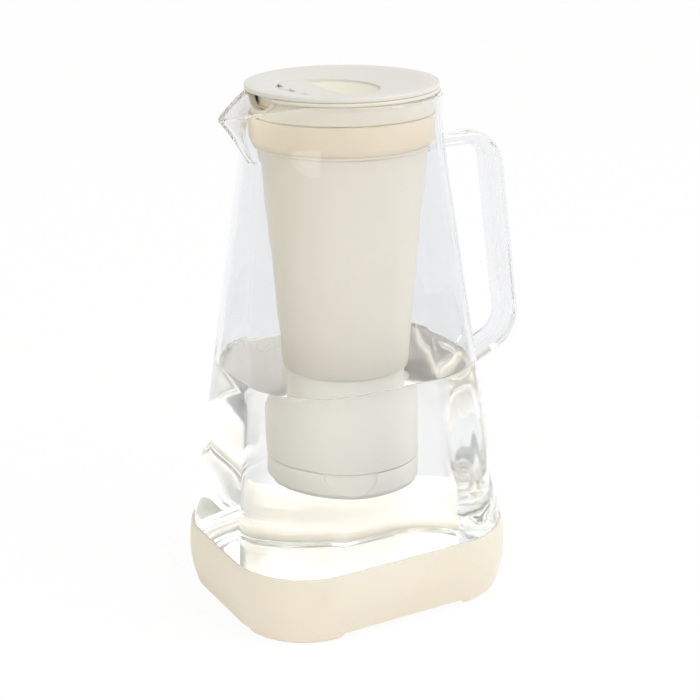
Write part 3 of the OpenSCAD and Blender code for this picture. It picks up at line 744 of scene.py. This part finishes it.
class PITCHER_OT_water(bpy.types.Operator):
    """Water up to its level, drawn up a little where it meets the glass"""

    bl_idname = "pitcher.water"
    bl_label = "Water"

    def execute(self, context):
        o = Outline(context.scene.pitcher_vessel)
        skin = 0.35 * MM  # the water reaches this far into the glass
        rise, reach = 1.4 * MM, 3.2 * MM  # of the drawn-up edge
        wall = o.glass_t - skin
        floor = o.glass_low + o.glass_floor - skin
        line = fillet(o, floor, o.foot_round - o.glass_t, wall, True)
        line += [(o.neck_r - wall, z) for z in levels(floor + 10 * MM, o.water_z, 4 * MM)]
        for t in levels(0, 1, 1 / 8):
            line.append((o.neck_r - o.glass_t - reach * t, o.water_z + rise * (1 - t) ** 2.5))
        water = turned("water", line, GLASS_SIDES)
        reshape(water, o.place)
        smooth(water, 50)
        colour = context.scene.pitcher_finish.water
        seated(water, clear("still_water", colour, 1.333), "vessel", "glass")
        return {"FINISHED"}


class PITCHER_OT_boot(bpy.types.Operator):
    """Silicone boot with its four feet"""

    bl_idname = "pitcher.boot"
    bl_label = "Boot"

    def execute(self, context):
        o = Outline(context.scene.pitcher_vessel)
        boot = turned("silicone_boot", boot_line(o), GLASS_SIDES)
        reshape(boot, o.place)
        for half, turn in ((34.5 * MM, 0), (30.5 * MM, 90)):  # of the long sides, of the short ones
            combine(boot, arch(half, turn), "DIFFERENCE")
        smooth(boot, 30)
        finish = context.scene.pitcher_finish
        seated(boot, boot_silicone(finish), "vessel", "boot", "base_boot")
        # painted light: the faces inside the boot and its floor get the lighter copy of the silicone
        boot.data.materials.append(boot_inside(finish))
        tray_z = 16 * MM  # faces that look up below this are the boot's floor
        for face in boot.data.polygons:
            out = face.normal.x * face.center.x + face.normal.y * face.center.y
            if out < 0 or (face.normal.z > 0.5 and face.center.z < tray_z):
                face.material_index = 1
        return {"FINISHED"}


def boot_line(o):
    """The boot's section: out along its bottom, up the side, over the top edge and down inside."""
    lip, draw = 1.2 * MM, 2.5 * MM  # thickness at the top, and how far the foot is drawn in
    edge = 5 * MM  # radius of the bottom edge
    gap = 0.12 * MM  # from the glass
    full, top = o.boot_full, o.boot_top

    def swell(z):
        if z < full:
            return o.boot_t - (o.boot_t + draw) * ((full - z) / full) ** 2
        return o.boot_t - (o.boot_t - lip) * ((z - full) / (top - full)) ** 2

    line = []
    for a in (math.radians(10 * k) for k in range(10)):
        line.append((o.neck_r + swell(edge) - edge * (1 - math.sin(a)), edge * (1 - math.cos(a))))
    line += [(o.neck_r + swell(z), z) for z in levels(edge + MM, top - 0.7 * MM, 1.6 * MM)]
    for share, drop in ((0.96, 0.35 * MM), (0.8, 0.08 * MM), (0.55, 0), (0.35, 0.1 * MM)):
        line.append((o.neck_r + share * lip, top - drop))
    line += [(o.neck_r + gap, z) for z in reversed(levels(17 * MM, top - 0.5 * MM, 4 * MM))]
    return line + fillet(o, o.glass_low, o.foot_round, -gap, False)


def arch(half, turn):
    """Channel under the boot between two feet, with sloping ends."""
    foot, slope = 4 * MM, 8 * MM  # its height, and how far each end slopes out down the tool
    tool = block("arch", (-half, -0.2, -foot), (half, 0.2, foot))
    edit(tool, "DESELECT")
    done(tool)
    for v in tool.data.vertices:
        v.select = v.co.z < 0
    bpy.ops.object.mode_set(mode="EDIT")
    k = (half + slope) / half
    bpy.ops.transform.resize(value=(k, 1, 1), center_override=(0, 0, -foot))
    return face_out(swing(done(tool), math.radians(turn)))


# ---- Reservoir ------------------------------------------------------------------------------


class PITCHER_OT_reservoir(bpy.types.Operator):
    """Filling reservoir with its pouring notch, and its seal band"""

    bl_idname = "pitcher.reservoir"
    bl_label = "Reservoir and seal"

    def execute(self, context):
        scene = context.scene
        plan = Tank(scene)
        tank = ring("filling_reservoir", plan.section(), 0.9 * MM)
        plan.cut_notch(tank)
        rounded_edges(tank, 0.45 * MM, 40)
        smooth(tank, 40)
        finish = scene.pitcher_finish
        seated(tank, reservoir_plastic(finish), "reservoir", "reservoir", "reservoir")
        seal = ring("seal_band", plan.seal_section(), 0.9 * MM, 5)
        smooth(seal, 35)
        seated(seal, seal_silicone(finish), "reservoir", "seal", "reservoir_seal")
        return {"FINISHED"}


class Tank:
    """Sections of the reservoir and its seal band."""

    LIP = 1.3 * MM  # width of the lip round the notch

    def __init__(self, scene):
        self.f = f = scene.pitcher_filter
        self.rim = scene.pitcher_vessel.rim_z
        self.top = self.rim + f.flange_t
        self.band_in = f.band_r - f.band_t
        self.band_top = self.rim - f.collar_h
        self.band_low = self.band_top - f.band_h

    def section(self):
        """From the outlet down round the boss and the bayonet ring, up outside and down inside."""
        f, low, rim, top = self.f, self.f.low_z, self.rim, self.top
        band_in, band_top, band_low = self.band_in, self.band_top, self.band_low
        shell_top = band_in - 1.6 * MM
        floor = low + 2.4 * MM
        bore, boss_r, boss_h = 8.5 * MM, 11 * MM, 10 * MM
        ring_r, ring_t, ring_h = f.cart_r - 6.7 * MM, 2 * MM, 8.5 * MM
        bevel, ledge = 2.2 * MM, band_in + 0.9 * MM
        return [
            (bore, floor),
            (bore, low - boss_h),
            (boss_r, low - boss_h),
            (boss_r, low),
            (ring_r - ring_t, low),
            (ring_r - ring_t, low - ring_h),
            (ring_r, low - ring_h),
            (ring_r, low),
            (f.low_r - bevel, low),
            (f.low_r, low + bevel),
            (shell_top, band_low - 5 * MM),
            (shell_top + 0.6 * MM, band_low - 1.8 * MM),
            (ledge, band_low - 1.2 * MM),
            (ledge, band_low),
            (band_in, band_low),
            (band_in, band_top),
            (f.collar_r, band_top),
            (f.collar_r, rim - 1.2 * MM),
            (f.collar_r + 0.7 * MM, rim),
            (f.flange_r, rim),
            (f.flange_r, top),
            (f.collar_r - f.wall, top),
            (f.collar_r - f.wall, band_top - 2 * MM),
            (band_in - f.wall, band_top - 5 * MM),
            (band_in - f.wall, band_low),
            (shell_top - f.wall, band_low - 5 * MM),
            (f.low_r - f.wall, floor + 3 * MM),
            (f.low_r - f.wall - 3 * MM, floor),
        ]

    def cut_notch(self, tank):
        """Cuts the pouring notch, with a thin lip round it."""
        f = self.f
        notch_r = ((f.notch_w / 2) ** 2 + f.notch_h**2) / (2 * f.notch_h)
        high = self.top + notch_r - f.notch_h
        inner, outer = f.collar_r - 0.5 * MM, f.collar_r + 1.2 * MM
        low, rim = self.rim - f.notch_h, self.rim + 0.4 * MM
        line = [(inner, low), (outer, low), (outer, rim), (inner, rim)]
        lip = turned("notch_lip", line, SIDES, True)
        outside = -0.07  # where the cutters start, beyond the flange
        around = rod("around", notch_r + self.LIP, (outside, 0, high), (-0.03, 0, high))
        combine(lip, around, "INTERSECT")
        combine(tank, lip, "UNION")
        notch = rod("notch", notch_r, (outside, 0, high), (-0.02, 0, high))
        combine(tank, notch, "DIFFERENCE")

    def seal_section(self):
        """The seal band: full at the top, tapering to a lip below."""
        wall, low, inner = self.f.band_r, self.band_low, self.band_in + 0.05 * MM
        return [
            (inner, low),
            (self.band_in + 1 * MM, low),
            (wall - 1.1 * MM, low + 1.2 * MM),
            (wall - 0.45 * MM, low + 3 * MM),
            (wall - 0.1 * MM, low + 6 * MM),
            (wall, low + 9 * MM),
            (wall, self.band_top),
            (inner, self.band_top),
        ]


# ---- Lid ------------------------------------------------------------------------------------


class Dish:
    """The dished top of the lid, and what is set into it."""

    LEAST = 0.4 * MM  # radius of the flat spot in the middle
    GAP = 0.3 * MM  # between two hinge barrels
    MIDDLE, HOOK, END = 7.6 * MM, 5.8 * MM, 5 * MM  # lengths of the barrels: lid, cover, lid
    WALL = 1.8 * MM  # of the finger scoop
    ROOT = 1.7 * MM  # from the cover's barrels to its plate

    def __init__(self, scene):
        v, f, lid = scene.pitcher_vessel, scene.pitcher_filter, scene.pitcher_lid
        self.sizes = lid
        self.low = v.rim_z + f.flange_t
        self.top = self.low + lid.lid_t
        self.r = f.flange_r
        self.dish_r = f.flange_r - lid.ring
        self.dish_low = self.top - lid.dish_h
        self.skirt_r = f.collar_r - f.wall - 1.5 * MM
        self.hinge_x = -lid.chord_x - lid.field_r + 3.3 * MM
        self.hinge_z = self.z(-self.hinge_x) - lid.knuckle_r
        self.scoop_x = -lid.chord_x - 3.2 * MM  # the scoop's far end, under the cover
        self.hook_y = self.MIDDLE / 2 + self.GAP
        self.end_y = self.hook_y + self.HOOK + self.GAP

    def z(self, r):
        return self.dish_low + self.sizes.dish_h * min(1, r / self.dish_r) ** 2

    def line(self, end, drop):
        """Points of the dish from the middle out, lowered by drop."""
        rs = levels(self.LEAST, end, (end - self.LEAST) / 20)
        return [(r, self.z(r) - drop) for r in rs]

    def layer(self, name, end, upper, lower):
        """A dished disc between two depths under the lid's top."""
        return turned(name, self.line(end, upper) + list(reversed(self.line(end, lower))))

    def half_disc(self, name, radius, low, high, edge_x):
        """Round block about the field's middle, up to a plane across X."""
        x = -self.sizes.chord_x
        tool = rod(name, radius, (x, 0, low), (x, 0, high))
        return cut_off(tool, (edge_x, 0, 0), (1, 0, 0))

    def through(self, name, radius, edge_x):
        """Half disc that reaches right through the lid."""
        return self.half_disc(name, radius, self.low - 8 * MM, self.low + 12 * MM, edge_x)

    def bowl(self, name, grow, radius, top, edge_x):
        """The space of the finger scoop: a shallow cap of a sphere with a straight rim above."""
        s = self.sizes
        ball = (s.field_r**2 + s.scoop_h**2) / (2 * s.scoop_h)
        middle = self.z(s.chord_x) - s.scoop_h + ball
        ball += grow
        if middle - top < ball and middle - math.sqrt(ball**2 - radius**2) > top:
            radius = math.sqrt(ball**2 - (middle - top) ** 2)  # the bowl's edge ends at top
        rs = [self.LEAST + (radius - self.LEAST) * k / 24 for k in range(25)]
        line = [(r, middle - math.sqrt(ball * ball - r * r)) for r in rs]
        if line[-1][1] < top - 0.01 * MM:
            line.append((radius, top))
        tool = move(turned(name, line, TOOL_SIDES), (-s.chord_x, 0, 0))
        return cut_off(tool, (edge_x, 0, 0), (-1, 0, 0))

    def knuckle(self, name, start, size, back, reach):
        """One hinge barrel with the web that holds it."""
        s, x, z = self.sizes, self.hinge_x, self.hinge_z
        r, end = s.knuckle_r, start + size
        barrel = rod(name, r, (x, start, z), (x, end, z), 48)
        if back:
            low, high = (x - r - reach, start, z - r * 0.6), (x, end, z + r * 0.9)
        else:
            low, high = (x, start, z + r - s.cover_t - 0.5 * MM), (x + r + reach, end, z + r)
        return combine(barrel, block("web", low, high), "UNION")

    def line_seam(self, piece, material, radius):
        """Paints the sides of the gap round the cover darker: painted shade in the gap."""
        s = self.sizes
        piece.data.materials.append(material)
        for face in piece.data.polygons:
            x, y, z = face.center
            off = math.hypot(x + s.chord_x, y) - radius
            round_side = x < -s.chord_x and abs(off) < 0.25 * MM
            straight = abs(x + s.chord_x) < 0.3 * MM and abs(y) < radius + 0.1 * MM
            if (round_side or straight) and z > self.low and abs(face.normal.z) < 0.85:
                face.material_index = 1

    def plate(self):
        """The whole lid before its openings: the dish, the rim round it and the skirt."""
        skirt_h = 10 * MM
        under, foot = self.low + 0.05 * MM, self.low - skirt_h
        skirt_in = self.skirt_r - 1.6 * MM
        edge = [
            (self.dish_r, self.top),
            (self.r, self.top),
            (self.r, under),
            (self.skirt_r, under),
            (self.skirt_r, foot),
            (skirt_in, foot),
            (skirt_in, self.low - 0.6 * MM),
        ]
        below = reversed(self.line(self.skirt_r - 3 * MM, self.sizes.lid_t))
        line = self.line(self.dish_r, 0)[:-1] + softened(edge, 0.8 * MM) + list(below)
        return turned("lid_plate", line)

    def open_field(self, lid):
        """Cuts the opening for the cover, and adds the ledge that the cover rests on."""
        s = self.sizes
        x = -s.chord_x
        combine(lid, self.through("field", s.field_r, x), "DIFFERENCE")
        top = self.z(s.field_r) - s.cover_t - 0.5 * MM
        low = top - 1.6 * MM
        ledge = self.half_disc("ledge", s.field_r + 1 * MM, low, top, x - 0.5 * MM)
        inner = rod("inner", s.field_r - 1.8 * MM, (x, 0, top - 5 * MM), (x, 0, top + 5 * MM))
        combine(ledge, inner, "DIFFERENCE")
        cut_off(ledge, (self.hinge_x + 7 * MM, 0, 0), (-1, 0, 0))
        combine(lid, ledge, "UNION")

    def add_scoop(self, lid):
        """Adds the scoop's wall, thicker above its rim, and hollows it."""
        s, wall, more = self.sizes, self.WALL, 0.3 * MM
        rim = self.z(0) - s.cover_t - 0.5 * MM
        combine(lid, self.bowl("bowl", wall, s.field_r + wall, rim, self.scoop_x - wall), "UNION")
        high, edge_x = self.z(0) + 0.2 * MM, s.cover_gap - s.chord_x
        upper = self.bowl("upper", wall + more, s.field_r + wall + more, high, edge_x)
        combine(lid, upper, "UNION")
        scoop = self.bowl("scoop", 0, s.field_r, self.top + 5 * MM, self.scoop_x)
        combine(lid, scoop, "DIFFERENCE")

    def add_barrels(self, lid):
        """Adds the lid's three hinge barrels, and cuts room for the cover's two between them."""
        x, r = self.hinge_x, self.sizes.knuckle_r
        for start, size, reach in (
            (-self.MIDDLE / 2, self.MIDDLE, 2.8 * MM),
            (self.end_y, self.END, 1.2 * MM),
            (-self.end_y - self.END, self.END, 1.2 * MM),
        ):
            combine(lid, self.knuckle("barrel", start, size, True, reach), "UNION")
        for y in (self.MIDDLE / 2, -self.end_y):
            low = (x - r - self.sizes.cover_gap, y, self.low - 8 * MM)
            high = (x + r + 2 * MM, y + self.HOOK + 2 * self.GAP, self.low + 12 * MM)
            combine(lid, block("room", low, high), "DIFFERENCE")

    def cover(self):
        """The flip cover: its plate, a plug that drops into the fill opening, and two hooks."""
        s = self.sizes
        back_x = self.hinge_x + s.knuckle_r + self.ROOT
        cover = self.layer("flip_plate", 36 * MM, 0, s.cover_t)
        shape = self.through("shape", s.field_r - s.cover_gap, -s.chord_x)
        cut_off(shape, (back_x, 0, 0), (-1, 0, 0))
        combine(cover, shape, "INTERSECT")
        plug = self.layer("plug", 30 * MM, s.cover_t - 0.02 * MM, s.cover_t + MM)
        inside = self.through("inside", s.field_r - 3.2 * MM, self.scoop_x - 2.6 * MM)
        cut_off(inside, (back_x + MM, 0, 0), (-1, 0, 0))
        combine(plug, inside, "INTERSECT")
        combine(cover, plug, "UNION")
        for start in (self.hook_y, -self.hook_y - self.HOOK):
            hook = self.knuckle("hook", start, self.HOOK, False, self.ROOT + 0.8 * MM)
            combine(cover, hook, "UNION")
        return cover


class PITCHER_OT_lid(bpy.types.Operator):
    """Dished lid with its finger scoop, and the flip cover on its hinge"""

    bl_idname = "pitcher.lid"
    bl_label = "Lid and flip cover"

    def execute(self, context):
        d = Dish(context.scene)
        s, finish = d.sizes, context.scene.pitcher_finish
        plastic = lid_plastic(finish, d.z(0))
        # painted shade on the sides of the gap round the cover
        seam = lid_seam(finish)
        lid = d.plate()
        d.open_field(lid)
        d.add_scoop(lid)
        d.add_barrels(lid)
        rounded_edges(lid, 0.3 * MM, 38)
        smooth(lid, 40)
        seated(lid, plastic, "lid", "lid", "lid")
        d.line_seam(lid, seam, s.field_r)
        cover = d.cover()
        rounded_edges(cover, 0.28 * MM, 38)
        smooth(cover, 40)
        seated(cover, plastic, "flip_cover", "lid", "flip_cover")
        d.line_seam(cover, seam, s.field_r - s.cover_gap)
        return {"FINISHED"}


# ---- Cartridge ------------------------------------------------------------------------------


class PITCHER_OT_cartridge(bpy.types.Operator):
    """Carbon cartridge under the reservoir, and its twist-off cap"""

    bl_idname = "pitcher.cartridge"
    bl_label = "Cartridge and cap"

    def execute(self, context):
        f = context.scene.pitcher_filter
        plastic = cartridge_plastic(context.scene.pitcher_finish)
        low = f.low_z - f.cart_len
        seam = low + f.cap_h
        neck = f.cart_r - 2.8 * MM  # outer radius of the neck that the cap turns on
        shell = ring("filter_cartridge", shell_section(f, seam, neck), 0.7 * MM)
        smooth(shell, 35)
        seated(shell, plastic, "cartridge", "filter_shell", "cartridge_shell", "cartridge_inlet")

        cap = turned("cartridge_cap_visual", softened(cap_section(f, low, seam, neck), 0.8 * MM))
        combine(cap, outlet_slots(low), "DIFFERENCE")
        for k in range(3):
            combine(cap, thumb_pad(f, low, seam, math.radians(120 * k)), "DIFFERENCE")
        rounded_edges(cap, 0.22 * MM, 30)
        smooth(cap, 40)
        seated(cap, plastic, "cartridge_cap", "filter_shell", "cartridge_cap")
        return {"FINISHED"}


def shell_section(f, seam, neck):
    """The shell with its neck below the seam, its inlet plate and the socket on that plate."""
    top = f.low_z - 0.3 * MM
    neck_in, neck_low = neck - 1.6 * MM, seam - 8 * MM
    step = seam + 0.35 * MM
    inner = f.cart_r - 6.4 * MM
    plate_low = f.low_z - 12.3 * MM
    plate = plate_low + 2 * MM
    socket, socket_in, socket_top, inlet = 13.25 * MM, 11.45 * MM, top - 2 * MM, 7.4 * MM
    return [
        (neck_in, neck_low),
        (neck, neck_low),
        (neck, step),
        (f.cart_r, step),
        (f.cart_r, top),
        (inner, top),
        (inner, plate),
        (socket, plate),
        (socket, socket_top),
        (socket_in, socket_top),
        (socket_in, plate),
        (inlet, plate),
        (inlet, plate_low),
        (neck_in, plate_low),
    ]


def cap_section(f, low, seam, neck):
    """The cap from the middle of its floor out, up to the seam and back inside."""
    least, bore, wall = 0.4 * MM, neck + 0.3 * MM, 2 * MM
    return [
        (least, low),
        (f.cart_r - 3.4 * MM, low),
        (f.cart_r - 1.2 * MM, low + 0.9 * MM),
        (f.cart_r - 0.2 * MM, low + 3 * MM),
        (f.cart_r, low + 5 * MM),
        (f.cart_r, seam),
        (bore, seam),
        (bore, low + 3.5 * MM),
        (bore - 1.5 * MM, low + wall),
        (least, low + wall),
    ]


def outlet_slots(low):
    """Cutter of the twelve slots in the cap's floor."""
    count, ends = 12, ((6 * MM, -MM, low - MM), (15 * MM, MM, low + 5 * MM))
    slots = [block("slot", *ends) for _ in range(count)]
    for k, slot in enumerate(slots):
        swing(slot, math.tau / count * k)
    put_down()
    for slot in slots:
        slot.select_set(True)
    bpy.context.view_layer.objects.active = slots[0]
    bpy.ops.object.join()
    return slots[0]


def thumb_pad(f, low, seam, angle):
    """Cutter of a recess: a round pad pressed against the cap's wall."""
    beyond = 0.05  # the cutters reach past the cap by more than its size
    z = seam - (f.cap_h - 2.6 * MM) + f.thumb_w / 2
    pad = rod("pad", f.thumb_w / 2, (0, 0, z), (beyond, 0, z), 96)
    core = rod("core", f.cart_r - f.thumb_t, (0, 0, low - MM), (0, 0, seam + beyond), SIDES)
    combine(pad, core, "DIFFERENCE")
    return swing(pad, angle)


# ---- Parts that stay as packed --------------------------------------------------------------


class PITCHER_OT_inner_parts(bpy.types.Operator):
    """Materials for the pieces that are shown as packed"""

    bl_idname = "pitcher.inner_parts"
    bl_label = "Inner parts"

    def execute(self, context):
        shell = moulded("microfilter_plastic", context.scene.pitcher_finish.cartridge, 0.4)
        resin = moulded("potting_resin", as_seen(232, 224, 200), 0.3, (0.9, 0.85, 0.75))
        black = moulded("o_ring_rubber", as_seen(38, 38, 40), 0.35)
        fibre = fibrous("filter_fibre", as_seen(244, 243, 238), (1, 1, 0.05), 5200)
        felt = fibrous("pressed_felt", as_seen(236, 233, 224), (1, 1, 1), 2600)
        dress(shell, "microfilter_housing", "microfilter_cap")
        dress(resin, "potting_disc")
        dress(black, "microfilter_o_ring", "cartridge_o_ring")
        dress(bpy.data.materials["seal_silicone"], "lid_seal")
        dress(fibre, "fibre_bundle")
        dress(felt, "upper_felt", "lower_felt")
        dress(granules(), "carbon_media")
        dress(drawn_steel(), "hinge_pin")
        return {"FINISHED"}


def dress(material, *names):
    for name in names:
        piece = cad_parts[name]
        piece.data.materials.clear()
        piece.data.materials.append(material)


def fibrous(name, colour, stretch, scale):
    """White fibres: fine streaks in colour and surface."""
    made, tree, shader, where = surface(name, colour, 0.85, Sheen_Weight=0.3)
    hairs = grain(tree, where, scale, 5, stretch)
    varied(tree, shader, spread(tree, hairs, 0, 1), colour, (0.82, 0.8, 0.76))
    bumped(tree, shader, hairs, 0.12 * MM)
    return made


def granules():
    """Packed carbon granules."""
    colour = as_seen(34, 34, 36)
    made, tree, shader, where = surface("carbon_granules", colour, 0.55)
    cells = node(tree, "TexVoronoi", Vector=where, Scale=1300).outputs["Distance"]
    varied(tree, shader, cells, colour, (2.2, 2.2, 2.3))
    bumped(tree, shader, cells, 0.3 * MM)
    return made


def drawn_steel():
    """Bright wire with fine marks round it."""
    made, tree, shader, where = surface("drawn_wire", as_seen(196, 197, 200), 0.28, Metallic=1.0)
    marks = grain(tree, where, 900, 4, (1, 8, 1))
    wire(tree, shader, Roughness=spread(tree, marks, 0.2, 0.38))
    bumped(tree, shader, marks, 0.01 * MM)
    return made


# ---- Stage ----------------------------------------------------------------------------------


class StageSettings(bpy.types.PropertyGroup):
    """Camera, floor and light."""

    lens: FloatProperty(name="Lens", description="Focal length in mm", default=83.11, min=1)
    floor: colour_of("Floor", "Colour of the floor", (0.86, 0.86, 0.86))
    ambient: FloatProperty(name="Ambient", description="Light from all round", default=0.82)
    key: FloatProperty(name="Key light", description="Power in watts", default=4.0, unit="POWER")
    table: FloatProperty(
        name="Table glow", description="Power in watts", default=0.022, unit="POWER"
    )


class PITCHER_OT_stage(bpy.types.Operator):
    """Pale floor, soft light and the camera"""

    bl_idname = "pitcher.stage"
    bl_label = "Stage"

    def execute(self, context):
        scene, s = context.scene, context.scene.pitcher_stage
        scene.view_settings.view_transform = "Standard"
        # light runs round inside the glass's lips, so short paths would leave them black
        scene.cycles.max_bounces = 200
        scene.cycles.transmission_bounces = 200
        scene.cycles.glossy_bounces = 200
        put_down()
        bpy.ops.mesh.primitive_plane_add(size=6, location=(0, 0, 0))
        floor = settle("floor")
        floor.data.materials.append(floor_material(s.floor))
        scene.world = bpy.data.worlds.get("World") or bpy.data.worlds.new("World")
        studio(scene.world, s.ambient)
        softbox("key", (0.55, -0.75, 0.85), 0.6, s.key)  # from the right of the camera
        softbox("fill", (-0.9, -0.35, 0.6), 0.7, s.key * 0.45)
        table_glow(s.table)
        scene.camera = camera(s.lens)
        return {"FINISHED"}


def softbox(name, place, size, power):
    """A square lamp that faces the pitcher's middle."""
    middle = Vector((0, 0, 0.13))
    bpy.ops.object.light_add(type="AREA", location=place)
    lamp = bpy.context.object
    lamp.name = name
    lamp.data.energy, lamp.data.size = power, size
    lamp.rotation_euler = (middle - Vector(place)).to_track_quat("-Z", "Y").to_euler()


def table_glow(power):
    """The table glows a little, and brightens the foot of the vessel from below."""
    bpy.ops.object.light_add(type="AREA", location=(0, 0, 0.3 * MM), rotation=(math.pi, 0, 0))
    table = bpy.context.object
    table.name = "table_glow"
    table.data.shape, table.data.size, table.data.size_y = "RECTANGLE", 0.12, 0.09
    table.data.energy = power
    table.visible_camera = table.visible_glossy = table.visible_transmission = False


def camera(lens):
    """The camera, placed as in the photograph."""
    place = (-0.38249, -0.69008, 0.40747)
    right, up = Vector((0.872922, -0.48786, 0.0)), Vector((0.161646, 0.289232, 0.94351))
    roll = math.radians(-0.53)
    bpy.ops.object.camera_add()
    made = bpy.context.object
    made.name = "camera"
    made.data.lens, made.data.sensor_width = lens, 36
    made.data.clip_start, made.data.clip_end = 0.05, 20
    across = right * math.cos(roll) + up * math.sin(roll)
    rise = up * math.cos(roll) - right * math.sin(roll)
    turn = Matrix((across, rise, right.cross(up))).transposed().to_4x4()
    made.matrix_world = Matrix.Translation(place) @ turn
    return made


def ray_kind(tree):
    """Whether the camera sees this, straight or by mirror or glass, and how much glass is passed."""
    path = node(tree, "LightPath")
    test = node(tree, "Math")
    test.operation = "LESS_THAN"
    test.inputs[1].default_value = 0.5
    tree.links.new(path.outputs["Diffuse Depth"], test.inputs[0])
    return test.outputs[0], path.outputs["Transmission Depth"]


def times(tree, value, factor):
    """Multiplies a value by a number or by another value."""
    work = node(tree, "Math")
    work.operation = "MULTIPLY"
    tree.links.new(value, work.inputs[0])
    if isinstance(factor, float):
        work.inputs[1].default_value = factor
    else:
        tree.links.new(factor, work.inputs[1])
    return work.outputs[0]


def along(tree, where, way):
    """How far a direction points along a way, from 0 for against it to 1."""
    work = node(tree, "VectorMath")
    work.operation = "DOT_PRODUCT"
    work.inputs[1].default_value = way
    tree.links.new(where, work.inputs[0])
    return spread(tree, work.outputs["Value"], 0, 1, -1, 1)


def mixed(tree, share, first, second, out):
    """Blends two shaders into an output."""
    mix = node(tree, "MixShader", Fac=share)
    tree.links.new(first.outputs[0], mix.inputs[1])
    tree.links.new(second.outputs[0], mix.inputs[2])
    wire(tree, out, Surface=mix.outputs[0])


def floor_material(colour):
    """A matt floor that looks white but keeps a faint shadow."""
    made, tree, shader, _ = surface("floor", colour, 0.9, Specular_IOR_Level=0.0)
    seen, depth = ray_kind(tree)
    bright = spread(tree, depth, 1.02, WATER_LIFT, *LIFT_FROM)
    white = node(tree, "Emission", Strength=bright, Color=deep_tint(tree, depth))
    mixed(tree, times(tree, seen, 0.92), shader, white, tree.nodes["Material Output"])
    return made


# What glass shows of the room, from straight behind the pitcher (0.01) to behind the camera (0.99)
ROOM = (
    (0.01, (1, 1, 1)),
    (0.3, (1, 1, 1)),
    (0.48, (0.86, 0.85, 0.76)),
    (0.62, (0.72, 0.7, 0.55)),
    (0.78, (0.5, 0.5, 0.33)),
    (0.88, (0.85, 0.85, 0.82)),
    (0.99, (1, 1, 1)),
)
# What lights the pieces, from the left of the camera to its right
SIDES_LIGHT = (
    (0.01, (0.4, 0.37, 0.26)),
    (0.25, (0.74, 0.7, 0.58)),
    (0.52, (1.04, 1.03, 1.01)),
    (0.99, (1.04, 1.03, 1.01)),
)
DEEP = ((0.01, (1, 1, 1)), (0.99, (0.93, 0.91, 0.78)))  # the tint of ever more glass and water
WATER_LIFT = 1.12  # makes up for what glass and water take from the white behind them
LIFT_FROM = (4, 7)  # surfaces passed where that lift begins, and where it is full
INSIDE_LIFT = 0.46  # added light on what is inside, for each surface that the light passed


def deep_tint(tree, depth):
    """The tint of what is seen through many surfaces."""
    return stops(tree, spread(tree, depth, 0, 1, 4, 12), DEEP)


def studio(world, ambient):
    """White behind the pitcher for what is seen, and soft even light on what is lit."""
    world.use_nodes = True
    tree = world.node_tree
    tree.nodes.clear()
    seen_share, depth = ray_kind(tree)
    where = node(tree, "TexCoord").outputs["Generated"]

    side = stops(tree, along(tree, where, (0.87, -0.49, 0.0)), SIDES_LIGHT)
    most = 10  # surfaces
    bright = spread(tree, depth, ambient, ambient * (1 + most * INSIDE_LIFT), 0, most)
    lit = node(tree, "Background", Color=side, Strength=bright)

    facing = along(tree, where, (-0.49, -0.87, 0.0))
    facing = times(tree, facing, spread(tree, depth, 0, 1, 0, 1))  # the open background is white
    room = stops(tree, facing, ROOM, deep_tint(tree, depth))
    lift = spread(tree, depth, 1, WATER_LIFT, *LIFT_FROM)
    seen = node(tree, "Background", Color=room, Strength=lift)
    mixed(tree, seen_share, lit, seen, node(tree, "OutputWorld"))


# ---- Add-on ---------------------------------------------------------------------------------


class PITCHER_PT_panel(bpy.types.Panel):
    """Lists the pieces of the pitcher"""

    bl_idname = "PITCHER_PT_panel"
    bl_label = "Water filter pitcher"
    bl_space_type = "VIEW_3D"
    bl_region_type = "UI"
    bl_category = "Pitcher"

    def draw(self, context):
        for operator in OPERATORS:
            self.layout.operator(operator.bl_idname)
        for group in GROUPS:
            box = self.layout.box()
            values = getattr(context.scene, group)
            for name in values.__annotations__:
                box.prop(values, name)


OPERATORS = (
    PITCHER_OT_glass,
    PITCHER_OT_water,
    PITCHER_OT_boot,
    PITCHER_OT_reservoir,
    PITCHER_OT_lid,
    PITCHER_OT_cartridge,
    PITCHER_OT_inner_parts,
    PITCHER_OT_stage,
)
GROUPS = {
    "pitcher_vessel": VesselSizes,
    "pitcher_handle": HandleSizes,
    "pitcher_filter": FilterSizes,
    "pitcher_lid": LidSizes,
    "pitcher_finish": Finish,
    "pitcher_stage": StageSettings,
}


def register():
    for group, kind in GROUPS.items():
        bpy.utils.register_class(kind)
        setattr(bpy.types.Scene, group, PointerProperty(type=kind))
    for kind in (*OPERATORS, PITCHER_PT_panel):
        bpy.utils.register_class(kind)


def unregister():
    for kind in (PITCHER_PT_panel, *reversed(OPERATORS)):
        bpy.utils.unregister_class(kind)
    for group, kind in reversed(GROUPS.items()):
        delattr(bpy.types.Scene, group)
        bpy.utils.unregister_class(kind)


def main():
    register()
    bpy.ops.pitcher.glass()
    bpy.ops.pitcher.water()
    bpy.ops.pitcher.boot()
    bpy.ops.pitcher.reservoir()
    bpy.ops.pitcher.lid()
    bpy.ops.pitcher.cartridge()
    bpy.ops.pitcher.inner_parts()
    bpy.ops.pitcher.stage()
    put_down()


if __name__ == "__main__":
    main()
